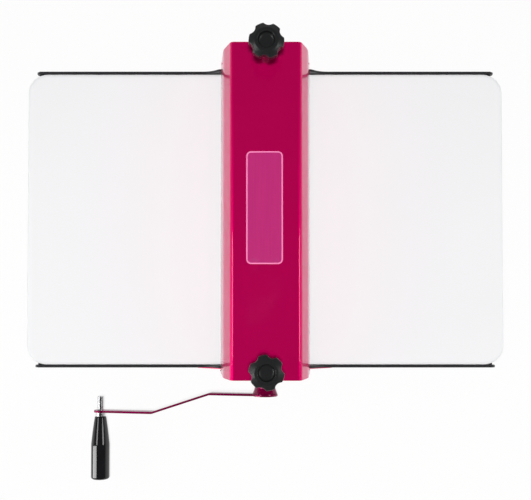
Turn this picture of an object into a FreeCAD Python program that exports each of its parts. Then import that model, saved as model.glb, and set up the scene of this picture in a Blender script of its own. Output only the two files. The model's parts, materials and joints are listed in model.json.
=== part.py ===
"""Manual die cutting and creasing machine, in millimetres.

X runs along the travel of the cutting plate, Y along the rollers with the crank at the
low end, and Z up. The pieces are built about the middle of the housing at bench level,
and each is moved along Y at the end, so that the origin lies under the middle of the
whole machine, the crank included.
"""
import FreeCAD, Part
import math
import os

V = FreeCAD.Vector
X_AXIS = V(1, 0, 0)
Y_AXIS = V(0, 1, 0)
Z_AXIS = V(0, 0, 1)
MIDDLE = V(0, 0, 0)

# Housing
housing_length = 376.0
end_plate_thickness = 6.0
cover_thickness = 1.5
cover_top_half_width = 39.2
cover_edge_radius = 5.5
cover_end_rounding = 0.9
shoulder_angle = 16.5
shoulder_height = 20.0
shoulder_drop = 16.0
wall_angle = 4.5
cover_seat_gap = 0.2
cover_tab_height = 18.0
cover_tab_reach = 5.5
cover_screw_height = 19.0
cover_screw_inset = 7.0
cover_screw_past_nut = 1.8
clear_above_bridge = 3.5

# Rollers and the nip between them
roller_diameter = 50.8
roller_axis_z = 62.0
roller_edge_rounding = 1.0
nip_clearance = 0.2
pressure_lift = 12.0
journal_radius = 9.0
running_clearance = 0.05
bush_wall = 3.0
bush_flange_width = 3.0
bush_flange_thickness = 1.5
end_float = 0.3
journal_inset = 1.0

# Cutting plate
plate_length = 583.0
plate_thickness = 10.0
plate_corner_radius = 24.0
plate_bevel_width = 3.2
plate_bevel_drop = 1.4
plate_edge_rounding = 1.6
plate_side_clearance = 0.6
plate_run_clearance = 0.3
feed_mouth_height = 14.4

# Tables
rail_reach = 281.5
rail_past_floor = 2.0
table_inner_x = 30.0
table_sheet = 2.0
rail_width = 3.0
rail_rise = 9.7
ear_drop = 17.0
ear_rise = 12.0
ear_length = 26.0
ear_blend_radius = 22.0
lip_drop = 12.0
rail_end_chamfer = 4.0
rail_edge_rounding = 1.0
table_bolt_inset = 6.5
table_bolt_past_nut = 2.2

# Lower half of the end plates and the base
waist_half_width = 55.0
waist_z = 45.0
base_half_width = 88.0
base_top_z = 24.0
base_corner_rounding = 6.0
waist_rounding = 14.0
foot_height = 8.0
foot_radius = 13.0
foot_inset = 13.0
foot_taper = 1.5
foot_seat_depth = 3.6
foot_seat_gap = 0.75
foot_screw_past_pan = 7.0
base_flange_width = 28.0
base_pan_sheet = 2.0
base_pan_upstand = 8.0
pan_inset = 1.0
skirt_sheet = 1.5
skirt_end_gap = 1.5
skirt_top_gap = 1.5
skirt_foot_width = 14.0
skirt_head_width = 8.0
skirt_inset = 0.5
skirt_screw_inset = 6.5
skirt_screw_spacing = 130.0
skirt_screw_past_pan = 2.0

# Bearing blocks, guides and pressure bridges
block_thickness = 13.5
block_half_width = 22.0
block_below_axis = 15.0
block_above_axis = 29.0
block_gap = 0.3
keeper_thickness = 3.0
room_above_keeper = 16.8
guide_width = 8.0
guide_thickness = 12.0
guide_low_above_ear = 5.0
guide_bridge_gap = 2.0
bridge_half_width = 33.0
bridge_height = 18.0
bridge_thickness = 19.0
bridge_chamfer = 2.0
bridge_screw_inset = 12.5
lower_bearing_half_width = 25.0
lower_bearing_half_height = 21.0
lower_bearing_rounding = 4.0
bearing_screw_inset = 6.0
guide_screw_inset = 12.0
block_chamfer = 5.0
keeper_screw_inset = 6.0
keeper_screw_depth = 6.0
thread_run_out = 2.0

# Tie bars
lower_tie_radius = 7.0
lower_tie_inset = 13.0
lower_tie_above_pan = 16.0
upper_tie_radius = 6.0
upper_tie_wall_gap = 2.4
upper_tie_drop = 45.0
tie_thread_depth = 14.0

# Pressure screws and star knobs
screw_radius = 4.0
screw_clearance = 0.06
collar_radius = 5.2
collar_height = 4.4
collar_clearance = 0.3
screw_hole_clearance = 1.2
screw_end_gap = 0.5
exposed_screw = 29.0
knob_radius = 19.0
knob_height = 26.0
knob_head_height = 15.0
knob_top_radius = 12.5
knob_side_height = 11.5
knob_hub_radius = 9.0
knob_lobes = 6
knob_scallop_radius = 6.5
knob_scallop_depth = 2.9
knob_edge_rounding = 1.2
knob_head_oversize = 0.5
knob_recess_radius = 9.3
knob_recess_depth = 6.0
knob_bore_depth = 14.0
knob_hub_flare = 2.0
far_knob_turn = -6.0
near_knob_turn = -17.0

# Crank
crank_radius = 218.0
crank_drop_angle = 11.0
stub_radius = 8.0
hub_radius = 13.0
eye_radius = 16.0
spigot_radius = 10.5
hub_length = 26.0
hub_flare_radius = 15.6
hub_flare_length = 7.0
washer_thickness = 2.8
washer_radius = 14.0
washer_gap = 0.3
arm_thickness = 3.0
arm_width = 14.0
arm_end_radius = 8.5
arm_bend_start = 71.0
arm_bend_end = 147.0
arm_offset = 25.6
arm_bend_radius = 5.0
stub_inset = 1.0
set_screw_radius = 3.0
set_screw_inset = 0.8
set_screw_socket = 1.7
set_screw_socket_depth = 2.4
set_screw_gap = 0.1
ring_thickness = 1.2
ring_radius = 11.5
ring_gap = 0.3
ring_groove_depth = 0.8
ring_mouth = 6.0
journal_past_ring = 3.0

# Handle
stud_radius = 4.0
stud_behind_arm = 18.0
stud_collar_radius = 6.2
stud_collar_length = 5.0
stud_end_gap = 2.0
grip_length = 82.0
grip_neck_radius = 7.4
grip_radius = 12.0
grip_taper_length = 36.0
grip_end_rounding = 3.0
grip_end_dome = 1.2
grip_bulge = 0.3
grip_bore_depth = 62.0
grip_gap = 0.4

# Badge
badge_length = 125.0
badge_width = 40.5
badge_thickness = 0.8
badge_corner_radius = 5.5
badge_edge_rounding = 0.3
badge_offset_x = -1.6
badge_offset_y = 3.0

# Screw sizes: radius of the shank
m4_radius = 2.0
m5_radius = 2.5
m6_radius = 3.0
thread_gap = 0.03
hole_gap = 0.3
screw_engagement = 9.0
bearing_screw_engagement = 8.0
guide_screw_engagement = 7.0
flush_head_ratio = 2.0
flush_head_sink = 0.2
socket_width_ratio = 0.77
socket_depth_ratio = 0.65
nut_width_ratio = 2.0
nut_height_ratio = 1.6
pan_width_ratio = 1.9
pan_height_ratio = 1.0

# How far a cutting shape reaches past what it cuts, and a joined shape into its neighbour
overcut = 1.0

# Places that follow from the sizes above
roller_radius = roller_diameter / 2
half_length = housing_length / 2
half_inside = half_length - end_plate_thickness
plate_low_z = roller_axis_z + roller_radius + nip_clearance
plate_top_z = plate_low_z + plate_thickness
upper_axis_z = plate_top_z + nip_clearance + roller_radius
rail_inner_y = half_inside - rail_width
plate_half_width = rail_inner_y - plate_side_clearance
table_top_z = plate_low_z - plate_run_clearance
table_low_z = table_top_z - table_sheet
rail_top_z = table_top_z + rail_rise
floor_reach = rail_reach - rail_past_floor
ear_top_z = rail_top_z + ear_rise
cover_low_z = plate_top_z + feed_mouth_height
block_low_z = upper_axis_z - block_below_axis
block_top_z = upper_axis_z + block_above_axis
keeper_top_z = block_top_z + keeper_thickness
bridge_low_z = keeper_top_z + pressure_lift + room_above_keeper
bridge_top_z = bridge_low_z + bridge_height
housing_top_z = bridge_top_z + clear_above_bridge + cover_thickness
block_middle_y = half_inside - block_gap - block_thickness / 2
block_inner_y = block_middle_y - block_thickness / 2
bush_inner_y = block_inner_y - bush_flange_thickness
roller_half_length = bush_inner_y - end_float
bush_outer_radius = journal_radius + running_clearance + bush_wall
flange_z = foot_height + end_plate_thickness
pan_top_z = flange_z + base_pan_sheet
foot_x = base_half_width - foot_inset
foot_y = half_inside - foot_inset
guide_x = block_half_width + block_gap + guide_width / 2
guide_low_z = ear_top_z + guide_low_above_ear
guide_top_z = bridge_low_z - guide_bridge_gap
hub_inner_y = half_length + washer_gap + washer_thickness + washer_gap
hub_outer_y = hub_inner_y + hub_length
arm_outer_y = hub_outer_y + arm_thickness
arm_middle_y = hub_outer_y + arm_thickness / 2
handle_arm_y = arm_middle_y + arm_offset
grip_start_y = handle_arm_y + arm_thickness / 2 + stud_collar_length + grip_gap
grip_end_y = grip_start_y + grip_length
knob_low_z = housing_top_z + exposed_screw
journal_end_y = half_length + ring_gap + ring_thickness + journal_past_ring


def sine(angle):
    return math.sin(math.radians(angle))


def cosine(angle):
    return math.cos(math.radians(angle))


def box(x_low, x_high, y_low, y_high, z_low, z_high):
    """Box between two corners."""
    return Part.makeBox(x_high - x_low, y_high - y_low, z_high - z_low, V(x_low, y_low, z_low))


def cylinder_y(radius, y_low, y_high, x=0.0, z=0.0):
    """Cylinder along Y between two places."""
    return Part.makeCylinder(radius, y_high - y_low, V(x, y_low, z), Y_AXIS)


def cylinder_z(radius, z_low, z_high, x=0.0, y=0.0):
    """Cylinder along Z between two heights."""
    return Part.makeCylinder(radius, z_high - z_low, V(x, y, z_low), Z_AXIS)


def mirror_x(shape):
    """The same shape on the other side of the YZ plane."""
    return shape.mirror(MIDDLE, X_AXIS)


def mirror_y(shape):
    """The same shape at the other end of the housing."""
    return shape.mirror(MIDDLE, Y_AXIS)


def at_both_ends(shapes):
    """Compound of separate solids and of their mirror images at the other end."""
    return Part.makeCompound(shapes + [mirror_y(shape) for shape in shapes])


def polygon_prism(points, along):
    """Prism from a closed polygon, carried along a vector."""
    return Part.Face(Part.makePolygon(points + [points[0]])).extrude(along)


def turned_about_y(profile, x=0.0, z=0.0):
    """Solid of revolution about a line along Y; the profile is a list of (radius, y)."""
    points = [V(radius, y, 0) for radius, y in profile]
    face = Part.Face(Part.makePolygon(points + [points[0]]))
    solid = face.revolve(MIDDLE, Y_AXIS, 360)
    solid.translate(V(x, 0, z))
    return solid


def normal_point(centre, radius, angle):
    """Point on a circle in the XZ plane, at an angle above the X axis."""
    return V(centre.x + radius * cosine(angle), 0, centre.z + radius * sine(angle))


def side_geometry(inset):
    """Points of the right side of the housing's outline, moved inwards by an inset.

    A tight bend leads from the flat top into a straight shoulder, and a wide arc from the
    shoulder into a straight wall that leans outwards less. The bends keep their centres
    at every inset.
    """
    bend_run = cover_edge_radius * math.tan(math.radians((90 - shoulder_angle) / 2))
    bend_centre = V(cover_top_half_width - bend_run, 0, housing_top_z - cover_edge_radius)
    bend_end = normal_point(bend_centre, cover_edge_radius, shoulder_angle)
    shoulder_run = shoulder_height * math.tan(math.radians(shoulder_angle))
    shoulder_end = bend_end + V(shoulder_run, 0, -shoulder_height)
    shoulder_radius = shoulder_drop / (sine(shoulder_angle) - sine(wall_angle))
    shoulder_centre = normal_point(shoulder_end, -shoulder_radius, shoulder_angle)
    bend = cover_edge_radius - inset
    shoulder = shoulder_radius - inset
    middle_angle = (shoulder_angle + wall_angle) / 2
    return {
        "top": normal_point(bend_centre, bend, 90),
        "bend": normal_point(bend_centre, bend, (90 + shoulder_angle) / 2),
        "bend_end": normal_point(bend_centre, bend, shoulder_angle),
        "shoulder_end": normal_point(shoulder_centre, shoulder, shoulder_angle),
        "arc": normal_point(shoulder_centre, shoulder, middle_angle),
        "wall": normal_point(shoulder_centre, shoulder, wall_angle),
    }


def wall_x(z, inset=0.0):
    """Half width of the straight wall at a height."""
    start = side_geometry(inset)["wall"]
    return start.x + (start.z - z) * math.tan(math.radians(wall_angle))


def housing_face(inset, low_z, y):
    """Closed outline of the housing above a height, in the plane at y."""
    side = side_geometry(inset)
    low = V(wall_x(low_z, inset), 0, low_z)

    def left(point):
        return V(-point.x, 0, point.z)

    edges = [
        Part.makeLine(left(low), low),
        Part.makeLine(low, side["wall"]),
        Part.Arc(side["wall"], side["arc"], side["shoulder_end"]).toShape(),
        Part.makeLine(side["shoulder_end"], side["bend_end"]),
        Part.Arc(side["bend_end"], side["bend"], side["top"]).toShape(),
        Part.makeLine(side["top"], left(side["top"])),
        Part.Arc(left(side["top"]), left(side["bend"]), left(side["bend_end"])).toShape(),
        Part.makeLine(left(side["bend_end"]), left(side["shoulder_end"])),
        Part.Arc(left(side["shoulder_end"]), left(side["arc"]), left(side["wall"])).toShape(),
        Part.makeLine(left(side["wall"]), left(low)),
    ]
    face = Part.Face(Part.Wire(edges))
    face.translate(V(0, y, 0))
    return face


# Places of the screws, each used for the holes, the threads and the screws

def tie_places():
    """Centres of the tie bars in the XZ plane, lower pair first."""
    upper_z = housing_top_z - upper_tie_drop
    inner_x = side_geometry(cover_thickness)["wall"].x
    upper_x = inner_x - upper_tie_wall_gap - upper_tie_radius
    lower_x = waist_half_width - lower_tie_inset
    lower_z = pan_top_z + lower_tie_above_pan
    lower = [(side * lower_x, lower_z, lower_tie_radius) for side in (-1, 1)]
    upper = [(side * upper_x, upper_z, upper_tie_radius) for side in (-1, 1)]
    return lower + upper


def bridge_screw_places():
    offset_x = bridge_half_width - bridge_screw_inset
    return [(side * offset_x, (bridge_low_z + bridge_top_z) / 2) for side in (-1, 1)]


def bearing_screw_places():
    offset_x = lower_bearing_half_width - bearing_screw_inset
    offset_z = lower_bearing_half_height - bearing_screw_inset
    return [(sx * offset_x, roller_axis_z + sz * offset_z) for sx in (-1, 1) for sz in (-1, 1)]


def guide_screw_places():
    heights = (guide_low_z + guide_screw_inset, guide_top_z - guide_screw_inset)
    return [(side * guide_x, height) for side in (-1, 1) for height in heights]


def table_bolt_places():
    height = table_low_z - ear_drop / 2
    places_x = (table_inner_x + table_bolt_inset, table_inner_x + ear_length - table_bolt_inset)
    return [(side * x, height) for side in (-1, 1) for x in places_x]


def cover_screw_places():
    height = cover_low_z + cover_screw_height
    offset_x = wall_x(height, cover_thickness) - cover_screw_inset
    return [(side * offset_x, height) for side in (-1, 1)]


def flush_screw(radius, length, x, z):
    """Countersunk socket screw that enters the far end plate from outside."""
    face_y = half_length - flush_head_sink
    head_radius = radius * flush_head_ratio
    head = Part.makeCone(radius, head_radius, head_radius - radius,
                         V(x, face_y - (head_radius - radius), z), Y_AXIS)
    shank = cylinder_y(radius, half_length - length, face_y - overcut, x, z)
    socket_radius = radius * socket_width_ratio
    socket_y = face_y - radius * socket_depth_ratio
    corners = [V(x + socket_radius * cosine(60 * corner), socket_y, z + socket_radius * sine(60 * corner))
               for corner in range(6)]
    socket = polygon_prism(corners, V(0, half_length - socket_y, 0))
    return head.fuse(shank).cut(socket).removeSplitter()


def flush_screw_hole(radius, x, z):
    """What the far end plate loses to a countersunk screw."""
    mouth_radius = radius * flush_head_ratio + flush_head_sink + thread_gap
    throat_radius = radius + hole_gap
    throat_y = half_length - (mouth_radius - throat_radius)
    sink = Part.makeCone(throat_radius, mouth_radius, half_length - throat_y, V(x, throat_y, z), Y_AXIS)
    return sink.fuse(cylinder_y(throat_radius, half_inside - overcut, throat_y + overcut, x, z))


def nut(radius, y_low, x, z):
    """Hexagon nut on a shank along Y, starting at a place."""
    thickness = radius * nut_height_ratio
    across = radius * nut_width_ratio
    corners = [V(x + across * cosine(60 * corner), y_low, z + across * sine(60 * corner))
               for corner in range(6)]
    body = polygon_prism(corners, V(0, thickness, 0))
    return body.cut(cylinder_y(radius + thread_gap, y_low - overcut, y_low + thickness + overcut, x, z))


def screws_at(places, radius, length):
    """The same countersunk screw at each place of both end plates."""
    return at_both_ends([flush_screw(radius, length, place[0], place[1]) for place in places])


def far_end_plate():
    """Plate at the far end, with a bottom flange that turns inwards to carry the feet."""
    fit = cover_thickness + cover_seat_gap
    upper = housing_face(fit, cover_low_z - overcut, half_inside).extrude(V(0, end_plate_thickness, 0))
    seat_z = cover_low_z - cover_seat_gap
    seat_x = wall_x(seat_z)
    right = [V(seat_x, half_inside, seat_z), V(waist_half_width, half_inside, waist_z),
             V(base_half_width, half_inside, base_top_z), V(base_half_width, half_inside, foot_height)]
    left = [V(-point.x, point.y, point.z) for point in reversed(right)]
    lower = polygon_prism(right + left, V(0, end_plate_thickness, 0))
    for corner_z, rounding in ((waist_z, waist_rounding), (base_top_z, base_corner_rounding)):
        corners = [edge for edge in lower.Edges if edge.BoundBox.YLength > end_plate_thickness / 2
                   and abs(edge.BoundBox.ZMin - corner_z) < 0.01 and edge.BoundBox.ZLength < 0.01]
        lower = lower.makeFillet(rounding, corners)
    plate = upper.fuse(lower).removeSplitter()
    flange = box(-base_half_width, base_half_width, half_inside - base_flange_width, half_inside,
                 foot_height, flange_z)
    plate = plate.fuse(flange).removeSplitter()
    holes = [cylinder_y(bush_outer_radius + running_clearance, half_inside - overcut, half_length + overcut,
                        0, roller_axis_z)]
    screws = [(tie_places(), m6_radius), (bridge_screw_places(), m6_radius),
              (bearing_screw_places(), m5_radius), (guide_screw_places(), m5_radius),
              (table_bolt_places(), m6_radius), (cover_screw_places(), m4_radius)]
    for places, radius in screws:
        holes += [flush_screw_hole(radius, place[0], place[1]) for place in places]
    for x in (-foot_x, foot_x):
        holes.append(cylinder_z(m5_radius + hole_gap, foot_height - overcut, flange_z + overcut, x, foot_y))
    return plate.cut(holes)


def top_cover():
    """Formed sheet over both end plates, with a screwed tab in each lower corner."""
    outer = housing_face(0.0, cover_low_z, -half_length).extrude(V(0, housing_length, 0))
    ends = [edge for edge in outer.Edges
            if edge.BoundBox.YLength < 0.01 and edge.BoundBox.ZMax > cover_low_z + 0.01]
    outer = outer.makeFillet(cover_end_rounding, ends)
    inner = housing_face(cover_thickness, cover_low_z - overcut, -half_length - overcut)
    cover = outer.cut(inner.extrude(V(0, 2 * (half_length + overcut), 0)))
    tabs = []
    for x, z in cover_screw_places():
        inner_x = abs(x) - cover_tab_reach
        wall = wall_x(z, cover_thickness) + cover_thickness / 2
        tab = box(inner_x, wall, half_inside - cover_thickness, half_inside,
                  z - cover_tab_height / 2, z + cover_tab_height / 2)
        tabs.append(tab if x > 0 else mirror_x(tab))
    tabs += [mirror_y(tab) for tab in tabs]
    cover = cover.fuse(tabs).removeSplitter()
    holes = []
    for x, z in cover_screw_places():
        holes.append(cylinder_y(m4_radius + hole_gap, -half_length, half_length, x, z))
    for end in (-1, 1):
        holes.append(cylinder_z(screw_radius + screw_hole_clearance,
                                housing_top_z - cover_thickness - overcut, housing_top_z + overcut,
                                0, end * block_middle_y))
    return cover.cut(holes)


def badge_plate():
    """Bare plate with rounded corners on the flat top."""
    plate = box(badge_offset_x - badge_width / 2, badge_offset_x + badge_width / 2,
                badge_offset_y - badge_length / 2, badge_offset_y + badge_length / 2,
                housing_top_z, housing_top_z + badge_thickness)
    corners = [edge for edge in plate.Edges if edge.BoundBox.ZLength > badge_thickness / 2]
    plate = plate.makeFillet(badge_corner_radius, corners)
    rim = [edge for edge in plate.Edges if edge.BoundBox.ZMin > housing_top_z + badge_thickness / 2]
    return plate.makeFillet(badge_edge_rounding, rim)


def base_pan():
    """Tray between the end plates' flanges, with its long edges turned up."""
    half_x = base_half_width - pan_inset
    pan = box(-half_x, half_x, -half_inside, half_inside, flange_z, pan_top_z)
    for side in (-1, 1):
        low, high = sorted((side * half_x, side * (half_x - base_pan_sheet)))
        upstand = box(low, high, -half_inside, half_inside, flange_z, pan_top_z + base_pan_upstand)
        pan = pan.fuse(upstand)
    holes = [cylinder_z(m5_radius + hole_gap, flange_z - overcut, pan_top_z + overcut, x, y)
             for x in (-foot_x, foot_x) for y in (-foot_y, foot_y)]
    holes += [cylinder_z(m4_radius + thread_gap, flange_z - overcut, pan_top_z + overcut, side * x, y)
              for side in (-1, 1) for x, y in skirt_screw_places()]
    return pan.cut(holes).removeSplitter()


def skirt_screw_places():
    """Places of the screws in the foot of the right-hand skirt."""
    x = waist_half_width - skirt_inset - skirt_sheet - skirt_screw_inset
    return [(x, step * skirt_screw_spacing) for step in (-1, 0, 1)]


def skirt_screws():
    """Button head screws that hold both skirts on the base pan."""
    screws = []
    for x, y in skirt_screw_places():
        low_z = flange_z - skirt_screw_past_pan
        seat_z = pan_top_z + skirt_sheet
        shank = cylinder_z(m4_radius, low_z, seat_z, x, y)
        head = cylinder_z(m4_radius * pan_width_ratio, seat_z, seat_z + m4_radius * pan_height_ratio, x, y)
        screws.append(shank.fuse(head).removeSplitter())
    return Part.makeCompound(screws + [mirror_x(screw) for screw in screws])


def skirt():
    """Right-hand panel that closes the housing below the table."""
    outer_x = waist_half_width - skirt_inset
    end_y = rail_inner_y - m6_radius * nut_height_ratio - skirt_end_gap
    top_z = table_low_z - skirt_top_gap
    panel = box(outer_x - skirt_sheet, outer_x, -end_y, end_y, pan_top_z, top_z)
    foot = box(outer_x - skirt_foot_width, outer_x - skirt_sheet / 2, -end_y, end_y,
               pan_top_z, pan_top_z + skirt_sheet)
    head = box(outer_x - skirt_head_width, outer_x - skirt_sheet / 2, -end_y, end_y,
               top_z - skirt_sheet, top_z)
    panel = panel.fuse([foot, head]).removeSplitter()
    holes = [cylinder_z(m4_radius + hole_gap, pan_top_z - overcut, pan_top_z + skirt_sheet + overcut, x, y)
             for x, y in skirt_screw_places()]
    return panel.cut(holes)


def tie_bars(bars):
    """Round bars between the end plates, threaded at both ends."""
    solids = []
    for x, z, radius in bars:
        bar = cylinder_y(radius, -half_inside, half_inside, x, z)
        threads = [cylinder_y(m6_radius + thread_gap, end * half_inside - tie_thread_depth,
                              end * half_inside + tie_thread_depth, x, z) for end in (-1, 1)]
        solids.append(bar.cut(threads))
    return Part.makeCompound(solids)


def table():
    """Right-hand table: a tray with thick side rails, ears inside the housing and an end lip."""
    floor = box(table_inner_x, floor_reach, -half_inside, half_inside, table_low_z, table_top_z)
    lip = box(floor_reach - table_sheet, floor_reach, -rail_inner_y, rail_inner_y,
              table_top_z - lip_drop, table_top_z)
    ear_x = table_inner_x + ear_length
    low_z = table_low_z - ear_drop
    ear_foot = V(ear_x + ear_rise, 0, rail_top_z)
    points = [V(table_inner_x, 0, low_z), V(ear_x, 0, low_z), V(ear_x, 0, table_low_z),
              V(rail_reach, 0, table_low_z), V(rail_reach, 0, rail_top_z - rail_end_chamfer),
              V(rail_reach - rail_end_chamfer, 0, rail_top_z), ear_foot,
              V(ear_x, 0, ear_top_z), V(table_inner_x, 0, ear_top_z)]
    rail = polygon_prism([V(p.x, rail_inner_y, p.z) for p in points], V(0, rail_width, 0))
    bends = [edge for edge in rail.Edges if edge.BoundBox.YLength > rail_width / 2
             and math.hypot(edge.CenterOfMass.x - ear_foot.x, edge.CenterOfMass.z - ear_foot.z) < 0.01]
    rail = rail.makeFillet(ear_blend_radius, bends)
    crown = [edge for edge in rail.Edges
             if edge.BoundBox.YLength < 0.01 and edge.BoundBox.ZMin > rail_top_z - rail_end_chamfer - 0.01
             and edge.BoundBox.XMax > ear_x - 0.01]
    rail = rail.makeFillet(rail_edge_rounding, crown)
    tray = floor.fuse([rail, mirror_y(rail), lip]).removeSplitter()
    holes = []
    for x, z in table_bolt_places():
        if x > 0:
            holes.append(cylinder_y(m6_radius + hole_gap, -half_inside - overcut, half_inside + overcut,
                                    x, z))
    return tray.cut(holes)


def table_nuts():
    """Nuts on the table bolts, inside the ears."""
    inner_y = rail_inner_y - m6_radius * nut_height_ratio
    return at_both_ends([nut(m6_radius, inner_y, x, z) for x, z in table_bolt_places()])


def cover_nuts():
    """Nuts on the cover's tab screws."""
    inner_y = half_inside - cover_thickness - m4_radius * nut_height_ratio
    return at_both_ends([nut(m4_radius, inner_y, x, z) for x, z in cover_screw_places()])


def far_bridge():
    """Block under the cover that holds the thread of the pressure screw."""
    bridge = box(-bridge_half_width, bridge_half_width, half_inside - bridge_thickness, half_inside,
                 bridge_low_z, bridge_top_z)
    edges = [edge for edge in bridge.Edges if edge.BoundBox.XLength < 0.01
             and abs(edge.BoundBox.XMin) > bridge_half_width - 0.01 and edge.BoundBox.YLength > 1.0]
    bridge = bridge.makeChamfer(bridge_chamfer, edges)
    holes = [cylinder_z(screw_radius + screw_clearance, bridge_low_z - overcut, bridge_top_z + overcut,
                        0, block_middle_y)]
    for x, z in bridge_screw_places():
        thread_start = half_inside - screw_engagement - thread_run_out
        holes.append(cylinder_y(m6_radius + thread_gap, thread_start, half_inside + overcut, x, z))
    return bridge.cut(holes)


def far_lower_bearing():
    """Housing of the lower roller's bush, bolted inside the far end plate."""
    body = box(-lower_bearing_half_width, lower_bearing_half_width, block_inner_y, half_inside,
               roller_axis_z - lower_bearing_half_height, roller_axis_z + lower_bearing_half_height)
    corners = [edge for edge in body.Edges if edge.BoundBox.YLength > 1.0]
    body = body.makeFillet(lower_bearing_rounding, corners)
    holes = [cylinder_y(bush_outer_radius + running_clearance, block_inner_y - overcut, half_inside + overcut,
                        0, roller_axis_z)]
    for x, z in bearing_screw_places():
        thread_start = half_inside - bearing_screw_engagement - thread_run_out
        holes.append(cylinder_y(m5_radius + thread_gap, thread_start, half_inside + overcut, x, z))
    return body.cut(holes)


def bush(axis_z, outer_y):
    """Flanged bush at the far end, from its inner flange to an outer face."""
    bore = journal_radius + running_clearance
    flange_radius = bush_outer_radius + bush_flange_width
    profile = [(bore, bush_inner_y), (flange_radius, bush_inner_y), (flange_radius, block_inner_y),
               (bush_outer_radius, block_inner_y), (bush_outer_radius, outer_y), (bore, outer_y)]
    return turned_about_y(profile, 0, axis_z)


def far_guides():
    """Pair of upright bars that keep the sliding block in line."""
    bars = []
    for side in (-1, 1):
        low, high = sorted((side * (guide_x - guide_width / 2), side * (guide_x + guide_width / 2)))
        bar = box(low, high, half_inside - guide_thickness, half_inside, guide_low_z, guide_top_z)
        thread_start = half_inside - guide_screw_engagement - thread_run_out
        threads = [cylinder_y(m5_radius + thread_gap, thread_start, half_inside + overcut, x, z)
                   for x, z in guide_screw_places() if x * side > 0]
        bars.append(bar.cut(threads))
    return Part.makeCompound(bars)


def far_block():
    """Sliding block of the upper roller, with a pocket for the pressure screw's collar."""
    body = box(-block_half_width, block_half_width, block_inner_y, block_inner_y + block_thickness,
               block_low_z, block_top_z)
    corners = [edge for edge in body.Edges
               if edge.BoundBox.YLength > 1.0 and edge.BoundBox.ZMax < block_low_z + 0.1]
    body = body.makeChamfer(block_chamfer, corners)
    pocket_low = block_top_z - collar_height - 2 * collar_clearance
    holes = [cylinder_y(bush_outer_radius + running_clearance, block_inner_y - overcut,
                        block_inner_y + block_thickness + overcut, 0, upper_axis_z),
             cylinder_z(collar_radius + collar_clearance, pocket_low, block_top_z + overcut,
                        0, block_middle_y)]
    for x in keeper_screw_places():
        thread_low = block_top_z - keeper_screw_depth - thread_run_out
        holes.append(cylinder_z(m4_radius + thread_gap, thread_low, block_top_z + overcut,
                                x, block_middle_y))
    return body.cut(holes)


def keeper_screw_places():
    return [side * (block_half_width - keeper_screw_inset) for side in (-1, 1)]


def far_keeper():
    """Plate on top of the sliding block that holds the screw's collar down."""
    plate = box(-block_half_width, block_half_width, block_inner_y, block_inner_y + block_thickness,
                block_top_z, keeper_top_z)
    holes = [cylinder_z(screw_radius + collar_clearance, block_top_z - overcut, keeper_top_z + overcut,
                        0, block_middle_y)]
    for x in keeper_screw_places():
        holes.append(cylinder_z(m4_radius + hole_gap, block_top_z - overcut, keeper_top_z + overcut,
                                x, block_middle_y))
    return plate.cut(holes)


def keeper_screws():
    """Button head screws through both keepers."""
    screws = []
    for x in keeper_screw_places():
        shank = cylinder_z(m4_radius, block_top_z - keeper_screw_depth, keeper_top_z, x, block_middle_y)
        head = cylinder_z(m4_radius * pan_width_ratio, keeper_top_z,
                          keeper_top_z + m4_radius * pan_height_ratio, x, block_middle_y)
        screws.append(shank.fuse(head).removeSplitter())
    return at_both_ends(screws)


def upper_roller():
    """Idle roller between the sliding blocks."""
    body = cylinder_y(roller_radius, -roller_half_length, roller_half_length, 0, upper_axis_z)
    rims = [edge for edge in body.Edges if edge.BoundBox.YLength < 0.01]
    body = body.makeFillet(roller_edge_rounding, rims)
    end_y = block_inner_y + block_thickness - journal_inset
    return body.fuse(cylinder_y(journal_radius, -end_y, end_y, 0, upper_axis_z))


def lower_roller():
    """Driven roller, with a long stub for the crank at the near end."""
    body = cylinder_y(roller_radius, -roller_half_length, roller_half_length, 0, roller_axis_z)
    rims = [edge for edge in body.Edges if edge.BoundBox.YLength < 0.01]
    body = body.makeFillet(roller_edge_rounding, rims)
    journal = cylinder_y(journal_radius, -hub_inner_y, journal_end_y, 0, roller_axis_z)
    stub = cylinder_y(stub_radius, -(arm_outer_y - stub_inset), -hub_inner_y + overcut, 0, roller_axis_z)
    return body.fuse([journal, stub]).cut(ring_groove()).removeSplitter()


def ring_groove():
    """Groove for the retaining ring, just outside the far end plate."""
    low = half_length + ring_gap
    outer = cylinder_y(journal_radius + overcut, low, low + ring_thickness, 0, roller_axis_z)
    core = cylinder_y(journal_radius - ring_groove_depth, low - overcut, low + ring_thickness + overcut,
                      0, roller_axis_z)
    return outer.cut(core)


def retaining_ring():
    """Open ring in the groove, with its gap at the bottom."""
    low = half_length + ring_gap
    profile_high = low + ring_thickness
    ring = cylinder_y(ring_radius, low, profile_high, 0, roller_axis_z)
    core = cylinder_y(journal_radius - ring_groove_depth, low - overcut, profile_high + overcut,
                      0, roller_axis_z)
    ring = ring.cut(core)
    mouth = box(-ring_mouth / 2, ring_mouth / 2, low - overcut, profile_high + overcut,
                roller_axis_z - ring_radius - overcut, roller_axis_z)
    return ring.cut(mouth)


def thrust_washer():
    """Washer between the near end plate and the crank's hub."""
    low = -(half_length + washer_gap + washer_thickness)
    high = -(half_length + washer_gap)
    disc = cylinder_y(washer_radius, low, high, 0, roller_axis_z)
    bore = cylinder_y(journal_radius + running_clearance, low - overcut, high + overcut, 0, roller_axis_z)
    return disc.cut(bore)


def crank_pose(shape):
    """Turns a crank piece, built level towards the low X side, down to its parked angle."""
    shape.rotate(V(0, 0, roller_axis_z), Y_AXIS, -crank_drop_angle)
    return shape


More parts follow.
